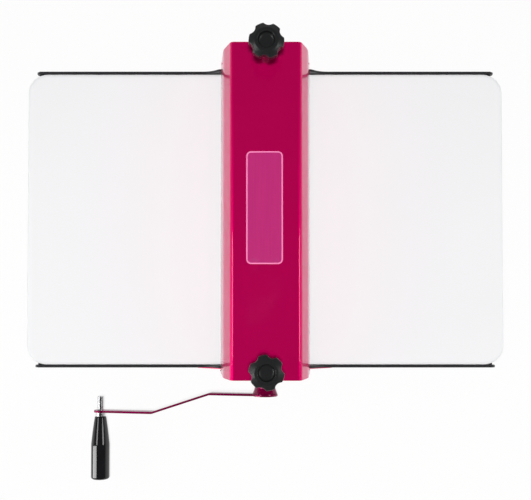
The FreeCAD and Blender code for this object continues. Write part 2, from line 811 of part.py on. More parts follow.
def crank_hub():
    """Boss on the roller's stub, with a spigot for the arm's eye and a set screw's hole."""
    boss = cylinder_y(hub_radius, -hub_outer_y, -hub_inner_y - washer_gap, 0, roller_axis_z)
    flare = Part.makeCone(hub_flare_radius, hub_radius, hub_flare_length,
                          V(0, -hub_outer_y, roller_axis_z), Y_AXIS)
    spigot = cylinder_y(spigot_radius, -arm_outer_y, -hub_outer_y + overcut, 0, roller_axis_z)
    bore = cylinder_y(stub_radius + thread_gap, -arm_outer_y - overcut, -hub_inner_y + overcut,
                      0, roller_axis_z)
    hub = boss.fuse([flare, spigot]).cut(bore)
    middle_y = -(hub_inner_y + hub_length / 2)
    hole = cylinder_z(set_screw_radius + thread_gap, roller_axis_z, roller_axis_z + hub_radius + overcut,
                      0, middle_y)
    return crank_pose(hub.cut(hole).removeSplitter())


def hub_set_screw():
    """Grub screw that grips the stub."""
    middle_y = -(hub_inner_y + hub_length / 2)
    low = roller_axis_z + stub_radius + set_screw_gap
    high = roller_axis_z + hub_radius - set_screw_inset
    screw = cylinder_z(set_screw_radius, low, high, 0, middle_y)
    corners = [V(set_screw_socket * cosine(60 * corner), middle_y + set_screw_socket * sine(60 * corner),
                 high - set_screw_socket_depth) for corner in range(6)]
    return crank_pose(screw.cut(polygon_prism(corners, V(0, 0, set_screw_socket_depth + overcut))))


def crank_arm():
    """Flat bar bent outwards twice, with an eye on the hub and a rounded end at the handle."""
    spare = arm_width
    bend = math.atan2(arm_offset, arm_bend_end - arm_bend_start)
    shift = arm_thickness / 2 * math.tan(bend / 2)
    starts = [eye_radius + spare, -arm_bend_start, -arm_bend_end, -crank_radius - arm_end_radius - spare]
    depths = [-arm_middle_y, -arm_middle_y, -handle_arm_y, -handle_arm_y]
    shifts = [0, shift, shift, 0]
    edge_points = {}
    for side in (-1, 1):
        edge_points[side] = [V(x + side * slide, depth + side * arm_thickness / 2, 0)
                             for x, depth, slide in zip(starts, depths, shifts)]
    tall = eye_radius + spare
    sheet = polygon_prism(edge_points[-1] + list(reversed(edge_points[1])), V(0, 0, 2 * tall))
    sheet.translate(V(0, 0, roller_axis_z - tall))
    for side in (-1, 1):
        for index, direction in ((1, 1), (2, -1)):
            radius = arm_bend_radius + (arm_thickness if direction * side > 0 else 0)
            point = edge_points[side][index]
            bends = [edge for edge in sheet.Edges if edge.BoundBox.ZLength > tall
                     and math.hypot(edge.CenterOfMass.x - point.x, edge.CenterOfMass.y - point.y) < 0.1]
            sheet = sheet.makeFillet(radius, bends)
    deep = handle_arm_y + spare
    eye = cylinder_y(eye_radius, -deep, 0, 0, roller_axis_z)
    end = cylinder_y(arm_end_radius, -deep, 0, -crank_radius, roller_axis_z)
    bar = box(-crank_radius, 0, -deep, 0, roller_axis_z - arm_width / 2, roller_axis_z + arm_width / 2)
    silhouette = eye.fuse([end, bar]).removeSplitter()
    arm = sheet.common(silhouette)
    holes = [cylinder_y(spigot_radius + thread_gap, -deep, 0, 0, roller_axis_z),
             cylinder_y(stud_radius + thread_gap, -deep, 0, -crank_radius, roller_axis_z)]
    return crank_pose(arm.cut(holes).removeSplitter())


def handle_axis():
    """Where the handle's axis crosses the XZ plane, once the crank is parked."""
    return (-crank_radius * cosine(crank_drop_angle),
            roller_axis_z - crank_radius * sine(crank_drop_angle))


def handle_stud():
    """Stud through the arm's end that carries the grip."""
    x, z = handle_axis()
    arm_face = handle_arm_y + arm_thickness / 2
    start = handle_arm_y - arm_thickness / 2 - stud_behind_arm
    end = grip_start_y + grip_bore_depth - stud_end_gap
    stud = cylinder_y(stud_radius, -end, -start, x, z)
    collar = cylinder_y(stud_collar_radius, -(arm_face + stud_collar_length), -arm_face, x, z)
    return stud.fuse(collar).removeSplitter()


def handle_grip():
    """Turned grip with a slim neck, free to spin on the stud."""
    x, z = handle_axis()
    neck = V(grip_neck_radius, -grip_start_y, 0)
    wide = V(grip_radius, -(grip_start_y + grip_taper_length), 0)
    middle = V((neck.x + wide.x) / 2 + grip_bulge, (neck.y + wide.y) / 2, 0)
    corner_y = -(grip_end_y - grip_end_dome)
    straight_end = V(grip_radius, corner_y + grip_end_rounding, 0)
    shoulder = V(grip_radius - grip_end_rounding, corner_y, 0)
    round_middle = V(shoulder.x + grip_end_rounding * cosine(45),
                     straight_end.y - grip_end_rounding * sine(45), 0)
    tip = V(0, -grip_end_y, 0)
    dome_radius = (shoulder.x ** 2 + grip_end_dome ** 2) / (2 * grip_end_dome)
    dome_x = shoulder.x / 2
    dome_middle = V(dome_x, -(grip_end_y - dome_radius) - math.sqrt(dome_radius ** 2 - dome_x ** 2), 0)
    edges = [
        Part.makeLine(V(0, -grip_start_y, 0), neck),
        Part.Arc(neck, middle, wide).toShape(),
        Part.makeLine(wide, straight_end),
        Part.Arc(straight_end, round_middle, shoulder).toShape(),
        Part.Arc(shoulder, dome_middle, tip).toShape(),
        Part.makeLine(tip, V(0, -grip_start_y, 0)),
    ]
    grip = Part.Face(Part.Wire(edges)).revolve(MIDDLE, Y_AXIS, 360)
    grip.translate(V(x, 0, z))
    bore = cylinder_y(stud_radius + running_clearance, -(grip_start_y + grip_bore_depth),
                      -grip_start_y + overcut, x, z)
    return grip.cut(bore)


def plate_outline(inset, z):
    """Rounded rectangle of the cutting plate at a height, moved inwards by an inset."""
    radius = plate_corner_radius - inset
    centre_x = plate_length / 2 - plate_corner_radius
    centre_y = plate_half_width - plate_corner_radius
    corners = []
    for start, side_x, side_y in ((0, 1, 1), (90, -1, 1), (180, -1, -1), (270, 1, -1)):
        corners.append([V(side_x * centre_x + radius * cosine(start + turn),
                          side_y * centre_y + radius * sine(start + turn), z) for turn in (0, 45, 90)])
    edges = []
    for corner, following in zip(corners, corners[1:] + corners[:1]):
        edges.append(Part.Arc(*corner).toShape())
        edges.append(Part.makeLine(corner[-1], following[0]))
    return Part.Wire(edges)


def cutting_plate():
    """White plate that carries the work through the nip, with a shallow bevel round both faces."""
    side_low_z = plate_low_z + plate_bevel_drop
    side_high_z = plate_top_z - plate_bevel_drop
    outlines = [plate_outline(plate_bevel_width, plate_low_z), plate_outline(0, side_low_z),
                plate_outline(0, side_high_z), plate_outline(plate_bevel_width, plate_top_z)]
    plate = Part.makeLoft(outlines, True, True)
    rims = [edge for edge in plate.Edges if edge.BoundBox.ZLength < 0.01
            and side_low_z - 0.01 < edge.BoundBox.ZMin < side_high_z + 0.01]
    return plate.makeFillet(plate_edge_rounding, rims)


def far_pressure_screw():
    """Screw from the sliding block's pocket up to the knob."""
    collar_low = block_top_z - collar_height - collar_clearance
    collar = cylinder_z(collar_radius, collar_low, collar_low + collar_height, 0, block_middle_y)
    top_z = knob_low_z + knob_bore_depth - screw_end_gap
    shank = cylinder_z(screw_radius, collar_low, top_z, 0, block_middle_y)
    return collar.fuse(shank).removeSplitter()


def star_prism(low_z, high_z):
    """Prism whose outline runs in arcs: a lobe on the rim, then a scallop cut into it."""
    disc = cylinder_z(knob_radius, low_z, high_z)
    distance = knob_radius - knob_scallop_depth + knob_scallop_radius
    scallops = []
    for lobe in range(knob_lobes):
        angle = 360.0 * (lobe + 0.5) / knob_lobes
        scallops.append(cylinder_z(knob_scallop_radius, low_z - overcut, high_z + overcut,
                                   distance * cosine(angle), distance * sine(angle)))
    star = disc.cut(scallops)
    upright = [edge for edge in star.Edges if edge.BoundBox.ZLength > (high_z - low_z) / 2
               and abs(math.hypot(edge.CenterOfMass.x, edge.CenterOfMass.y) - knob_radius) < 0.01]
    return star.makeFillet(knob_edge_rounding, upright)


def star_knob(middle_y, turn):
    """Star knob with a hollow top and a hub below, turned about its screw.

    Its lobes are upright below and slope in above to the round top.
    """
    head_low = knob_low_z + knob_height - knob_head_height
    top_z = knob_low_z + knob_height
    slope_z = head_low + knob_side_height
    head_radius = knob_radius + knob_head_oversize
    slope = Part.makeCone(head_radius, knob_top_radius, top_z - slope_z, V(0, 0, slope_z), Z_AXIS)
    round_head = cylinder_z(head_radius, head_low, slope_z).fuse(slope).removeSplitter()
    rims = [edge for edge in round_head.Edges if edge.BoundBox.ZLength < 0.01]
    round_head = round_head.makeFillet(knob_edge_rounding + knob_head_oversize, rims)
    head = star_prism(head_low - overcut, top_z + overcut).common(round_head)
    hub = Part.makeCone(knob_hub_radius, knob_hub_radius + knob_hub_flare,
                        knob_height - knob_head_height + overcut, V(0, 0, knob_low_z), Z_AXIS)
    bore = cylinder_z(screw_radius + thread_gap, knob_low_z - overcut, knob_low_z + knob_bore_depth)
    recess = cylinder_z(knob_recess_radius, top_z - knob_recess_depth, top_z + overcut)
    knob = head.fuse(hub).cut([bore, recess]).removeSplitter()
    knob.rotate(MIDDLE, Z_AXIS, turn)
    knob.translate(V(0, middle_y, 0))
    return knob


def rubber_feet():
    """Four feet with a sunk screw seat."""
    feet = []
    for x in (-foot_x, foot_x):
        body = Part.makeCone(foot_radius, foot_radius - foot_taper, foot_height, V(x, foot_y, 0), Z_AXIS)
        seat_radius = m5_radius * pan_width_ratio + foot_seat_gap
        seat = cylinder_z(seat_radius, -overcut, foot_seat_depth, x, foot_y)
        hole = cylinder_z(m5_radius + hole_gap, -overcut, foot_height + overcut, x, foot_y)
        feet.append(body.cut([seat, hole]))
    return at_both_ends(feet)


def feet_screws():
    """Pan head screws up through the feet, each with its nut on the base pan."""
    head_low = foot_seat_depth - m5_radius * pan_height_ratio
    solids = []
    for x in (-foot_x, foot_x):
        head = cylinder_z(m5_radius * pan_width_ratio, head_low, foot_seat_depth, x, foot_y)
        shank = cylinder_z(m5_radius, head_low + overcut, pan_top_z + foot_screw_past_pan, x, foot_y)
        solids.append(head.fuse(shank).removeSplitter())
    return at_both_ends(solids)


def feet_nuts():
    """Hexagon nuts on the base pan."""
    solids = []
    across = m5_radius * nut_width_ratio
    thickness = m5_radius * nut_height_ratio
    for x in (-foot_x, foot_x):
        corners = [V(x + across * cosine(60 * corner), foot_y + across * sine(60 * corner), pan_top_z)
                   for corner in range(6)]
        body = polygon_prism(corners, V(0, 0, thickness))
        hole = cylinder_z(m5_radius + thread_gap, pan_top_z - overcut, pan_top_z + thickness + overcut,
                          x, foot_y)
        solids.append(body.cut(hole))
    return at_both_ends(solids)


def all_pieces():
    """Every piece of the machine by the name of its node."""
    end_plate = far_end_plate()
    bridge = far_bridge()
    lower_bearing = far_lower_bearing()
    lower_bush = bush(roller_axis_z, half_length)
    guides = far_guides()
    block = far_block()
    upper_bush = bush(upper_axis_z, block_inner_y + block_thickness)
    keeper = far_keeper()
    pressure_screw = far_pressure_screw()
    right_table = table()
    right_skirt = skirt()
    end_length = end_plate_thickness + screw_engagement
    bearing_screw_length = end_plate_thickness + bearing_screw_engagement
    guide_screw_length = end_plate_thickness + guide_screw_engagement
    nut_past_rail = m6_radius * nut_height_ratio + table_bolt_past_nut
    table_bolt_length = end_plate_thickness + rail_width + nut_past_rail
    nut_past_tab = m4_radius * nut_height_ratio + cover_screw_past_nut
    cover_screw_length = end_plate_thickness + cover_thickness + nut_past_tab
    return {
        "far_end_plate": end_plate,
        "near_end_plate": mirror_y(end_plate),
        "top_cover": top_cover(),
        "badge_plate": badge_plate(),
        "base_pan": base_pan(),
        "right_skirt": right_skirt,
        "left_skirt": mirror_x(right_skirt),
        "skirt_screws": skirt_screws(),
        "lower_tie_bars": tie_bars(tie_places()[:2]),
        "upper_tie_bars": tie_bars(tie_places()[2:]),
        "right_table": right_table,
        "left_table": mirror_x(right_table),
        "far_pressure_bridge": bridge,
        "near_pressure_bridge": mirror_y(bridge),
        "far_lower_bearing": lower_bearing,
        "near_lower_bearing": mirror_y(lower_bearing),
        "far_lower_bush": lower_bush,
        "near_lower_bush": mirror_y(lower_bush),
        "far_block_guides": guides,
        "near_block_guides": mirror_y(guides),
        "rubber_feet": rubber_feet(),
        "feet_screws": feet_screws(),
        "feet_nuts": feet_nuts(),
        "tie_bar_screws": screws_at(tie_places(), m6_radius, end_length),
        "bridge_screws": screws_at(bridge_screw_places(), m6_radius, end_length),
        "bearing_screws": screws_at(bearing_screw_places(), m5_radius, bearing_screw_length),
        "guide_screws": screws_at(guide_screw_places(), m5_radius, guide_screw_length),
        "table_bolts": screws_at(table_bolt_places(), m6_radius, table_bolt_length),
        "table_nuts": table_nuts(),
        "cover_screws": screws_at(cover_screw_places(), m4_radius, cover_screw_length),
        "cover_nuts": cover_nuts(),
        "lower_roller": lower_roller(),
        "retaining_ring": retaining_ring(),
        "thrust_washer": thrust_washer(),
        "crank_hub": crank_hub(),
        "hub_set_screw": hub_set_screw(),
        "crank_arm": crank_arm(),
        "handle_stud": handle_stud(),
        "handle_grip": handle_grip(),
        "cutting_plate": cutting_plate(),
        "far_bearing_block": block,
        "near_bearing_block": mirror_y(block),
        "far_block_bush": upper_bush,
        "near_block_bush": mirror_y(upper_bush),
        "far_keeper": keeper,
        "near_keeper": mirror_y(keeper),
        "keeper_screws": keeper_screws(),
        "upper_roller": upper_roller(),
        "far_pressure_screw": pressure_screw,
        "far_knob": star_knob(block_middle_y, far_knob_turn),
        "near_pressure_screw": mirror_y(pressure_screw),
        "near_knob": star_knob(-block_middle_y, near_knob_turn),
    }


def origin_shift(pieces):
    """Move along Y that brings the middle of the whole machine's box over the origin."""
    whole = Part.makeCompound(list(pieces.values())).optimalBoundingBox(False, False)
    return V(0, -(whole.YMin + whole.YMax) / 2, 0)


os.makedirs("parts", exist_ok=True)
machine = all_pieces()
shift = origin_shift(machine)
print("moved along Y by %.4f mm" % shift.y)
for name, shape in machine.items():
    shape.translate(shift)
    shape.exportStep("parts/" + name + ".step")
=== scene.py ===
"""Looks of the manual die cutting and creasing machine, built round its packed frame.

The file is laid out as an add-on: property groups hold the sizes and colours, an operator
makes each group of pieces, and a panel lists the operators. Lengths are in metres, with X
along the travel of the cutting board, Y along the rollers and Z up.
"""
import json
import math

import bmesh
import bpy
import numpy as np
from bpy.props import FloatProperty, FloatVectorProperty, IntProperty, PointerProperty
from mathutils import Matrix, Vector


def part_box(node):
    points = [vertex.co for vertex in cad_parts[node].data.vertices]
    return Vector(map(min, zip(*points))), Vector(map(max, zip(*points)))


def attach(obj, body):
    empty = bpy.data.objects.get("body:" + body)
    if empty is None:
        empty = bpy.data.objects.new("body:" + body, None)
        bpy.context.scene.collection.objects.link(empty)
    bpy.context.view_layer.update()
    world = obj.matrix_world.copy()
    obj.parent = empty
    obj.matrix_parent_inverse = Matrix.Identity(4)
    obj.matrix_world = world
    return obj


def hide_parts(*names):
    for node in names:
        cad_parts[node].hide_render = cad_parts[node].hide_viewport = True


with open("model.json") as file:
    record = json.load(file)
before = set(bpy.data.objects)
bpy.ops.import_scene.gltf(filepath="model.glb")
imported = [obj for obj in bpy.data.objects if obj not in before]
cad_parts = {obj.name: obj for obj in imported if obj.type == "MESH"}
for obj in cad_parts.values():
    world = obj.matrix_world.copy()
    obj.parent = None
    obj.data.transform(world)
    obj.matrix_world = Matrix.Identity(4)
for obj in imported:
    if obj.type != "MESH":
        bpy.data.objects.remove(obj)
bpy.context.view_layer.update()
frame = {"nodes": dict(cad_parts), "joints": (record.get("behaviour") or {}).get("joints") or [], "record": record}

bl_info = {
    "name": "Die cutting machine looks",
    "version": (1, 0, 0),
    "blender": (4, 5, 0),
    "location": "3D View > Sidebar > Die Machine",
    "description": "Builds the finished surfaces of a manual die cutting and creasing machine",
    "category": "Object",
}

MM = 0.001
FULL_TURN = 2 * math.pi
IMAGE_WIDTH = 531
BODY_OF = {node: body for body, nodes in frame["record"]["behaviour"]["bodies"].items() for node in nodes}
SLOT_OF = {part["node"]: part["material_slot"] for part in frame["record"]["subparts"]}


def box_of(node):
    """Lowest and highest corner of a packed node, as arrays."""
    low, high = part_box(node)
    return np.array(low), np.array(high)


def joint_place(name):
    """Point on a joint's axis, from the packed record."""
    joint = next(joint for joint in frame["joints"] if joint["name"] == name)
    return np.array(joint["pos_m"], float)


HOUSING_LOW, HOUSING_HIGH = box_of("top_cover")
HOUSING_MIDDLE_Y = (HOUSING_LOW[1] + HOUSING_HIGH[1]) / 2


# Settings

def length(name, description, default):
    """Property for a length, given in millimetres and kept in metres."""
    return FloatProperty(name=name, description=description, default=default * MM, min=0.0, precision=5,
                         unit="LENGTH")


def place(name, description, default):
    """Property for a place on an axis, given in millimetres, which may be negative."""
    return FloatProperty(name=name, description=description, default=default * MM, precision=5,
                         unit="LENGTH")


def angle(name, description, degrees):
    """Property for an angle, given in degrees and kept in radians."""
    return FloatProperty(name=name, description=description, default=math.radians(degrees),
                         unit="ROTATION")


def number(name, description, default):
    """Property for a plain number."""
    return FloatProperty(name=name, description=description, default=default)


def colour(name, description, default):
    """Property for a linear colour."""
    return FloatVectorProperty(name=name, description=description, default=default, size=3,
                               min=0.0, max=1.0, subtype="COLOR")


def group(name, kind):
    """Property that holds one group of settings."""
    return PointerProperty(name=name, description=kind.__doc__, type=kind)


class FinishColours(bpy.types.PropertyGroup):
    """Colours of the paints, plastics and metals."""
    enamel: colour("Enamel", "Metallic magenta enamel on the housing", (0.73, 0.0, 0.125))
    # The crank's tone is the housing's magenta made far darker: painted shade on the crank.
    crank_enamel: colour("Crank enamel", "Dark burgundy enamel on the crank", (0.20, 0.0, 0.05))
    badge_face: colour("Badge face", "Face of the bare badge", (0.47, 0.022, 0.165))
    badge_rim: colour("Badge rim", "Raised rim of the badge", (0.90, 0.24, 0.50))
    board: colour("Board", "White cutting board", (0.87, 0.875, 0.885))
    powder: colour("Powder coat", "Black powder coat on the tables and base", (0.021, 0.021, 0.023))
    plastic: colour("Plastic", "Black moulded plastic of the knobs", (0.013, 0.0135, 0.014))
    polished: colour("Polished plastic", "Black polished plastic of the grip", (0.008, 0.008, 0.009))
    rubber: colour("Rubber", "Feet", (0.022, 0.022, 0.022))
    steel: colour("Ground steel", "Rollers, stud and tie bars", (0.56, 0.56, 0.57))
    zinc: colour("Zinc", "Zinc plated screws, nuts and washers", (0.62, 0.63, 0.64))
    oxide: colour("Black oxide", "Cap screws", (0.045, 0.045, 0.048))
    iron: colour("Machined iron", "Bearing blocks, bridges and guides", (0.15, 0.15, 0.155))
    bronze: colour("Bronze", "Sintered bushes", (0.50, 0.32, 0.12))


class CoverSizes(bpy.types.PropertyGroup):
    """Sizes of the formed cover."""
    sheet: length("Sheet", "Thickness of the sheet", 1.5)
    flat_half_width: length("Flat half width", "Half the width on top, to the sharp corner", 39.2)
    bend_radius: length("Bend radius", "Radius of the bend beside the flat top", 5.5)
    shoulder_angle: angle("Shoulder angle", "Lean of the flat shoulder below the bend", 16.5)
    shoulder_height: length("Shoulder height", "Height of the flat shoulder", 20.0)
    shoulder_drop: length("Shoulder drop", "Height of the wide arc below the shoulder", 16.0)
    wall_angle: angle("Wall angle", "Lean of the straight wall", 4.5)
    end_rounding: length("End rounding", "Rounding of the outer edge at both ends", 0.9)
    inner_rounding: length("Inner rounding", "Rounding of the inner edge at both ends", 0.3)
    screw_hole: length("Screw hole", "Radius of the holes for the pressure screws", 5.2)
    tab_height: length("Tab height", "Height of the screwed tabs", 18.0)
    tab_reach: length("Tab reach", "How far a tab reaches in past its screw", 5.5)


class BoardSizes(bpy.types.PropertyGroup):
    """Sizes of the cutting board and the badge."""
    corner: length("Board corner", "Radius of the board's corners", 24.0)
    bevel_width: length("Bevel width", "Width of the shallow bevel round both faces", 3.2)
    bevel_drop: length("Bevel drop", "Drop of the bevel", 1.4)
    bevel_blend: length("Bevel blend", "Radius between a face and its bevel", 7.0)
    edge: length("Board edge", "Rounding between the bevel and the side", 1.6)
    badge_corner: length("Badge corner", "Radius of the badge's corners", 5.5)
    badge_rim: length("Badge rim", "Width of the badge's raised rim", 1.5)
    badge_recess: length("Badge recess", "Depth of the badge's face below its rim", 0.25)
    badge_edge: length("Badge edge", "Rounding of the badge's outer edge", 0.3)


class KnobSizes(bpy.types.PropertyGroup):
    """Sizes of the star knobs and their screws."""
    radius: length("Lobe radius", "Radius over the lobes", 19.0)
    lobes: IntProperty(name="Lobes", description="Number of lobes", default=6, min=3)
    scallop_radius: length("Scallop radius", "Radius of the hollows between the lobes", 6.5)
    scallop_depth: length("Scallop depth", "Depth of the hollows", 2.9)
    lobe_blend: length("Lobe blend", "Softness of the corner between lobe and hollow", 0.55)
    head_height: length("Head height", "Height of the lobed head", 15.0)
    side_height: length("Side height", "Height of the lobes' upright sides", 11.5)
    top_radius: length("Top radius", "Radius of the flat top, where the lobes start to slope", 12.5)
    top_blend: length("Top blend", "Radius between the flat top and the slope", 3.0)
    edge: length("Edge", "Rounding of the lobes' edges", 1.6)
    hub_radius: length("Hub radius", "Radius of the hub's foot", 9.0)
    hub_flare: length("Hub flare", "How much wider the hub is under the head", 2.0)
    recess_radius: length("Recess radius", "Radius of the hollow in the top", 9.3)
    recess_depth: length("Recess depth", "Depth of the hollow in the top", 6.0)
    bore_radius: length("Bore radius", "Radius of the screw's hole", 4.03)
    bore_depth: length("Bore depth", "Depth of the screw's hole", 14.0)
    far_turn: angle("Far turn", "Turn of the far knob", -6.0)
    near_turn: angle("Near turn", "Turn of the near knob", -17.0)
    screw_radius: length("Screw radius", "Outer radius of the pressure screw", 4.0)
    pitch: length("Pitch", "Rise of the thread in one turn", 1.25)
    thread_depth: length("Thread depth", "Depth of the thread", 0.62)
    collar_radius: length("Collar radius", "Radius of the screw's collar", 5.2)
    collar_height: length("Collar height", "Height of the screw's collar", 4.4)


class CrankSizes(bpy.types.PropertyGroup):
    """Sizes of the crank's hub, stud and grip."""
    hub_radius: length("Hub radius", "Radius of the hub", 13.0)
    flare_radius: length("Flare radius", "Radius of the hub beside the arm", 15.6)
    flare_length: length("Flare length", "Length of the hub's flare", 7.0)
    spigot_radius: length("Spigot radius", "Radius of the spigot in the arm's eye", 10.5)
    bore_radius: length("Bore radius", "Radius of the hub's bore", 8.03)
    set_screw_hole: length("Set screw hole", "Radius of the set screw's hole", 3.03)
    drop: angle("Drop", "How far the parked crank hangs below the level", 11.0)
    arm_thickness: length("Arm thickness", "Thickness of the arm", 3.0)
    stud_radius: length("Stud radius", "Radius of the handle's stud", 4.0)
    collar_length: length("Collar length", "Length of the stud's collar", 5.0)
    collar_start: length("Collar start", "From the stud's inner end to its collar", 21.0)
    neck_radius: length("Neck radius", "Radius of the grip's neck", 7.4)
    grip_radius: length("Grip radius", "Radius of the grip", 12.0)
    taper: length("Taper", "Length of the grip's taper", 36.0)
    bulge: length("Bulge", "How far the taper swells from a straight line", 0.3)
    end_rounding: length("End rounding", "Rounding of the grip's end", 3.0)
    end_dome: length("End dome", "Rise of the grip's end", 1.2)
    grip_bore: length("Grip bore", "Depth of the grip's bore", 62.0)


class RollerSizes(bpy.types.PropertyGroup):
    """Sizes of the rollers, feet and countersunk screws."""
    edge: length("Roller edge", "Rounding of the rollers' edges", 1.0)
    journal_radius: length("Journal radius", "Radius of the rollers' journals", 9.0)
    stub_radius: length("Stub radius", "Radius of the crank's stub", 8.0)
    chamfer: length("Chamfer", "Chamfer at the ends of the journals", 0.8)
    groove_width: length("Groove width", "Width of the retaining ring's groove", 1.2)
    groove_depth: length("Groove depth", "Depth of the retaining ring's groove", 0.8)
    foot_taper: length("Foot taper", "How much narrower a foot is on top", 1.5)
    foot_seat_radius: length("Foot seat radius", "Radius of the screw's seat in a foot", 5.5)
    foot_seat_depth: length("Foot seat depth", "Depth of the screw's seat in a foot", 3.6)
    foot_rib: length("Foot rib", "Depth of the rings moulded round a foot", 0.35)
    head_ratio: number("Head ratio", "Head radius over shank radius", 2.0)
    head_edge: length("Head edge", "Blunt edge round a screw's head", 0.25)
    socket_ratio: number("Socket ratio", "Socket corner radius over shank radius", 0.77)
    socket_depth: number("Socket depth", "Socket depth over shank radius", 0.65)


class StageSettings(bpy.types.PropertyGroup):
    """Camera, lamps and floor."""
    camera_x: place("Camera X", "Place of the camera along X", -9.3)
    camera_y: place("Camera Y", "Place of the camera from the housing's middle along Y", -95.1)
    camera_z: place("Camera Z", "Height of the camera above the bench", 1204.5)
    camera_tilt: angle("Tilt", "Lean of the camera towards the far end", 1.632)
    focal_pixels: number("Focal length", "Focal length in image pixels", 904.6)
    centre_x: number("Centre X", "Pixels from the image's middle to the axis", -7.9)
    centre_y: number("Centre Y", "Pixels down from the middle to the axis", 20.6)
    lamp_distance: length("Lamp distance", "From the machine's middle to each side lamp", 1250.0)
    lamp_foot: length("Lamp foot", "Height of the side lamps' lower edge", 140.0)
    lamp_height: length("Lamp height", "Height of the side lamps' upper edge", 760.0)
    side: number("Side", "Brightness of the left lamp as light", 2.0)
    right_side: number("Right side", "Brightness of the right lamp as light", 1.7)
    glow: number("Glow", "Brightness of the near lamp in gloss", 10.0)
    high_glow: number("High glow", "Brightness of the two high lamps in gloss", 6.0)
    overhead: number("Overhead", "Light that falls on the board from above", 2.8)
    overhead_z: length("Overhead height", "Height of the lamp above the camera", 2300.0)
    overhead_size: length("Overhead size", "Width of the lamp above the camera", 250.0)
    fill: number("Fill", "Brightness of the light from all round", 0.12)


class MachineLooks(bpy.types.PropertyGroup):
    """All settings of the machine's looks."""
    colours: group("Colours", FinishColours)
    cover: group("Cover", CoverSizes)
    board: group("Board", BoardSizes)
    knob: group("Knob", KnobSizes)
    crank: group("Crank", CrankSizes)
    roller: group("Roller", RollerSizes)
    stage: group("Stage", StageSettings)


def looks():
    """Settings of the machine's looks in the scene."""
    return bpy.context.scene.machine_looks


# Curves and surfaces

def rounded_path(corners, closed=False, steps=6):
    """Points of straight runs joined by arcs, as an array of pairs.

    Each corner is (a, b, radius). Its arc touches both runs at the radius times the tangent
    of half the turn from the corner, and turns evenly from one run to the next.
    """
    corners = np.array(corners, float)
    count = len(corners)
    parts = []
    for index in range(count):
        point = corners[index, :2]
        radius = corners[index, 2]
        at_end = not closed and index in (0, count - 1)
        if radius <= 0 or at_end:
            parts.append(point[None])
            continue
        before = point - corners[index - 1, :2]
        after = corners[(index + 1) % count, :2] - point
        before /= np.linalg.norm(before)
        after /= np.linalg.norm(after)
        turn = math.acos(np.clip(before @ after, -1, 1))
        side = after - before * (before @ after)
        side /= np.linalg.norm(side)
        start = point - before * radius * math.tan(turn / 2)
        sweep = np.linspace(0, turn, steps + 1)[:, None]
        parts.append(start + side * radius + radius * (before * np.sin(sweep) - side * np.cos(sweep)))
    return np.vstack(parts)


def rounded_rectangle(half_width, half_length, radius, steps=12):
    """Outline of a rectangle with round corners, and its outward normals.

    Each corner is a quarter circle about a centre that lies one radius in from both sides.
    """
    sweep = np.linspace(0, math.pi / 2, steps + 1)
    quarter = np.arange(4)[:, None] * math.pi / 2 + sweep[None]
    sign_x = np.array([1, -1, -1, 1])[:, None]
    sign_y = np.array([1, 1, -1, -1])[:, None]
    normals = np.stack([np.cos(quarter), np.sin(quarter)], axis=-1)
    centres = np.stack(np.broadcast_arrays(sign_x * (half_width - radius), sign_y * (half_length - radius)),
                       axis=-1)
    outline = centres + radius * normals
    return outline.reshape(-1, 2), normals.reshape(-1, 2)


def quads(rows, columns, close_rows):
    """Corner numbers of a grid's quads; columns always close, and rows close on request."""
    row = np.arange(rows if close_rows else rows - 1)
    row, column = np.meshgrid(row, np.arange(columns), indexing="ij")
    next_row = (row + 1) % rows
    next_column = (column + 1) % columns
    corners = [row * columns + column, row * columns + next_column,
               next_row * columns + next_column, next_row * columns + column]
    return np.stack(corners, axis=-1).reshape(-1, 4)


def new_object(name, data):
    """Object in the scene that holds a mesh, a lamp or a camera."""
    made = bpy.data.objects.new(name, data)
    bpy.context.scene.collection.objects.link(made)
    return made


def mend(mesh, merge_distance, flatten=False):
    """Merges points that fall together, joins coplanar faces on request, and turns faces outwards."""
    sculpt = bmesh.new()
    sculpt.from_mesh(mesh)
    bmesh.ops.remove_doubles(sculpt, verts=sculpt.verts, dist=merge_distance)
    if flatten:
        coplanar = math.radians(0.5)
        bmesh.ops.dissolve_limit(sculpt, angle_limit=coplanar, verts=sculpt.verts, edges=sculpt.edges)
    bmesh.ops.recalc_face_normals(sculpt, faces=sculpt.faces)
    sculpt.to_mesh(mesh)
    sculpt.free()


def joined_mesh(name, shells):
    """Object from closed shells, each given as points, faces and the faces' materials."""
    points = []
    faces = []
    indices = []
    total = 0
    for shell_points, shell_faces, shell_indices in shells:
        points.append(shell_points)
        faces += [[corner + total for corner in face] for face in shell_faces]
        indices += shell_indices
        total += len(shell_points)
    mesh = bpy.data.meshes.new(name)
    mesh.from_pydata(np.vstack(points).tolist(), [], faces)
    mesh.polygons.foreach_set("material_index", indices)
    mend(mesh, merge_distance=0.001 * MM)
    return new_object(name, mesh)


def shell(grid, close_rows=False, capped=False, material_rows=None):
    """Points, faces and materials of a grid of rings; caps close the first and the last ring.

    The rings' points come as rows by columns by three. From material_rows on, the faces take
    the second material.
    """
    rows, columns = grid.shape[:2]
    faces = quads(rows, columns, close_rows).tolist()
    indices = [0] * len(faces)
    if material_rows is not None:
        indices = [int(face // columns >= material_rows) for face in range(len(faces))]
    if capped:
        for row in (0, rows - 1):
            faces.append((row * columns + np.arange(columns)).tolist())
            indices.append(int(material_rows is not None and row > 0))
    return grid.reshape(-1, 3), faces, indices


def turned_grid(profile, centre, axis="Y", columns=64, ripple=0.0):
    """Rings of a turned shape: each profile point (radius, along) goes once round the axis.

    The ripple, if given, is added to the radius and has one value for each row and column.
    """
    around = np.linspace(0, FULL_TURN, columns, endpoint=False)[None]
    radius = profile[:, :1] + ripple
    along = np.broadcast_to(profile[:, 1:], (len(profile), columns))
    first = centre[0] + radius * np.cos(around)
    if axis == "Y":
        return np.stack([first, along, centre[2] + radius * np.sin(around)], axis=-1)
    return np.stack([first, centre[1] + radius * np.sin(around), along], axis=-1)


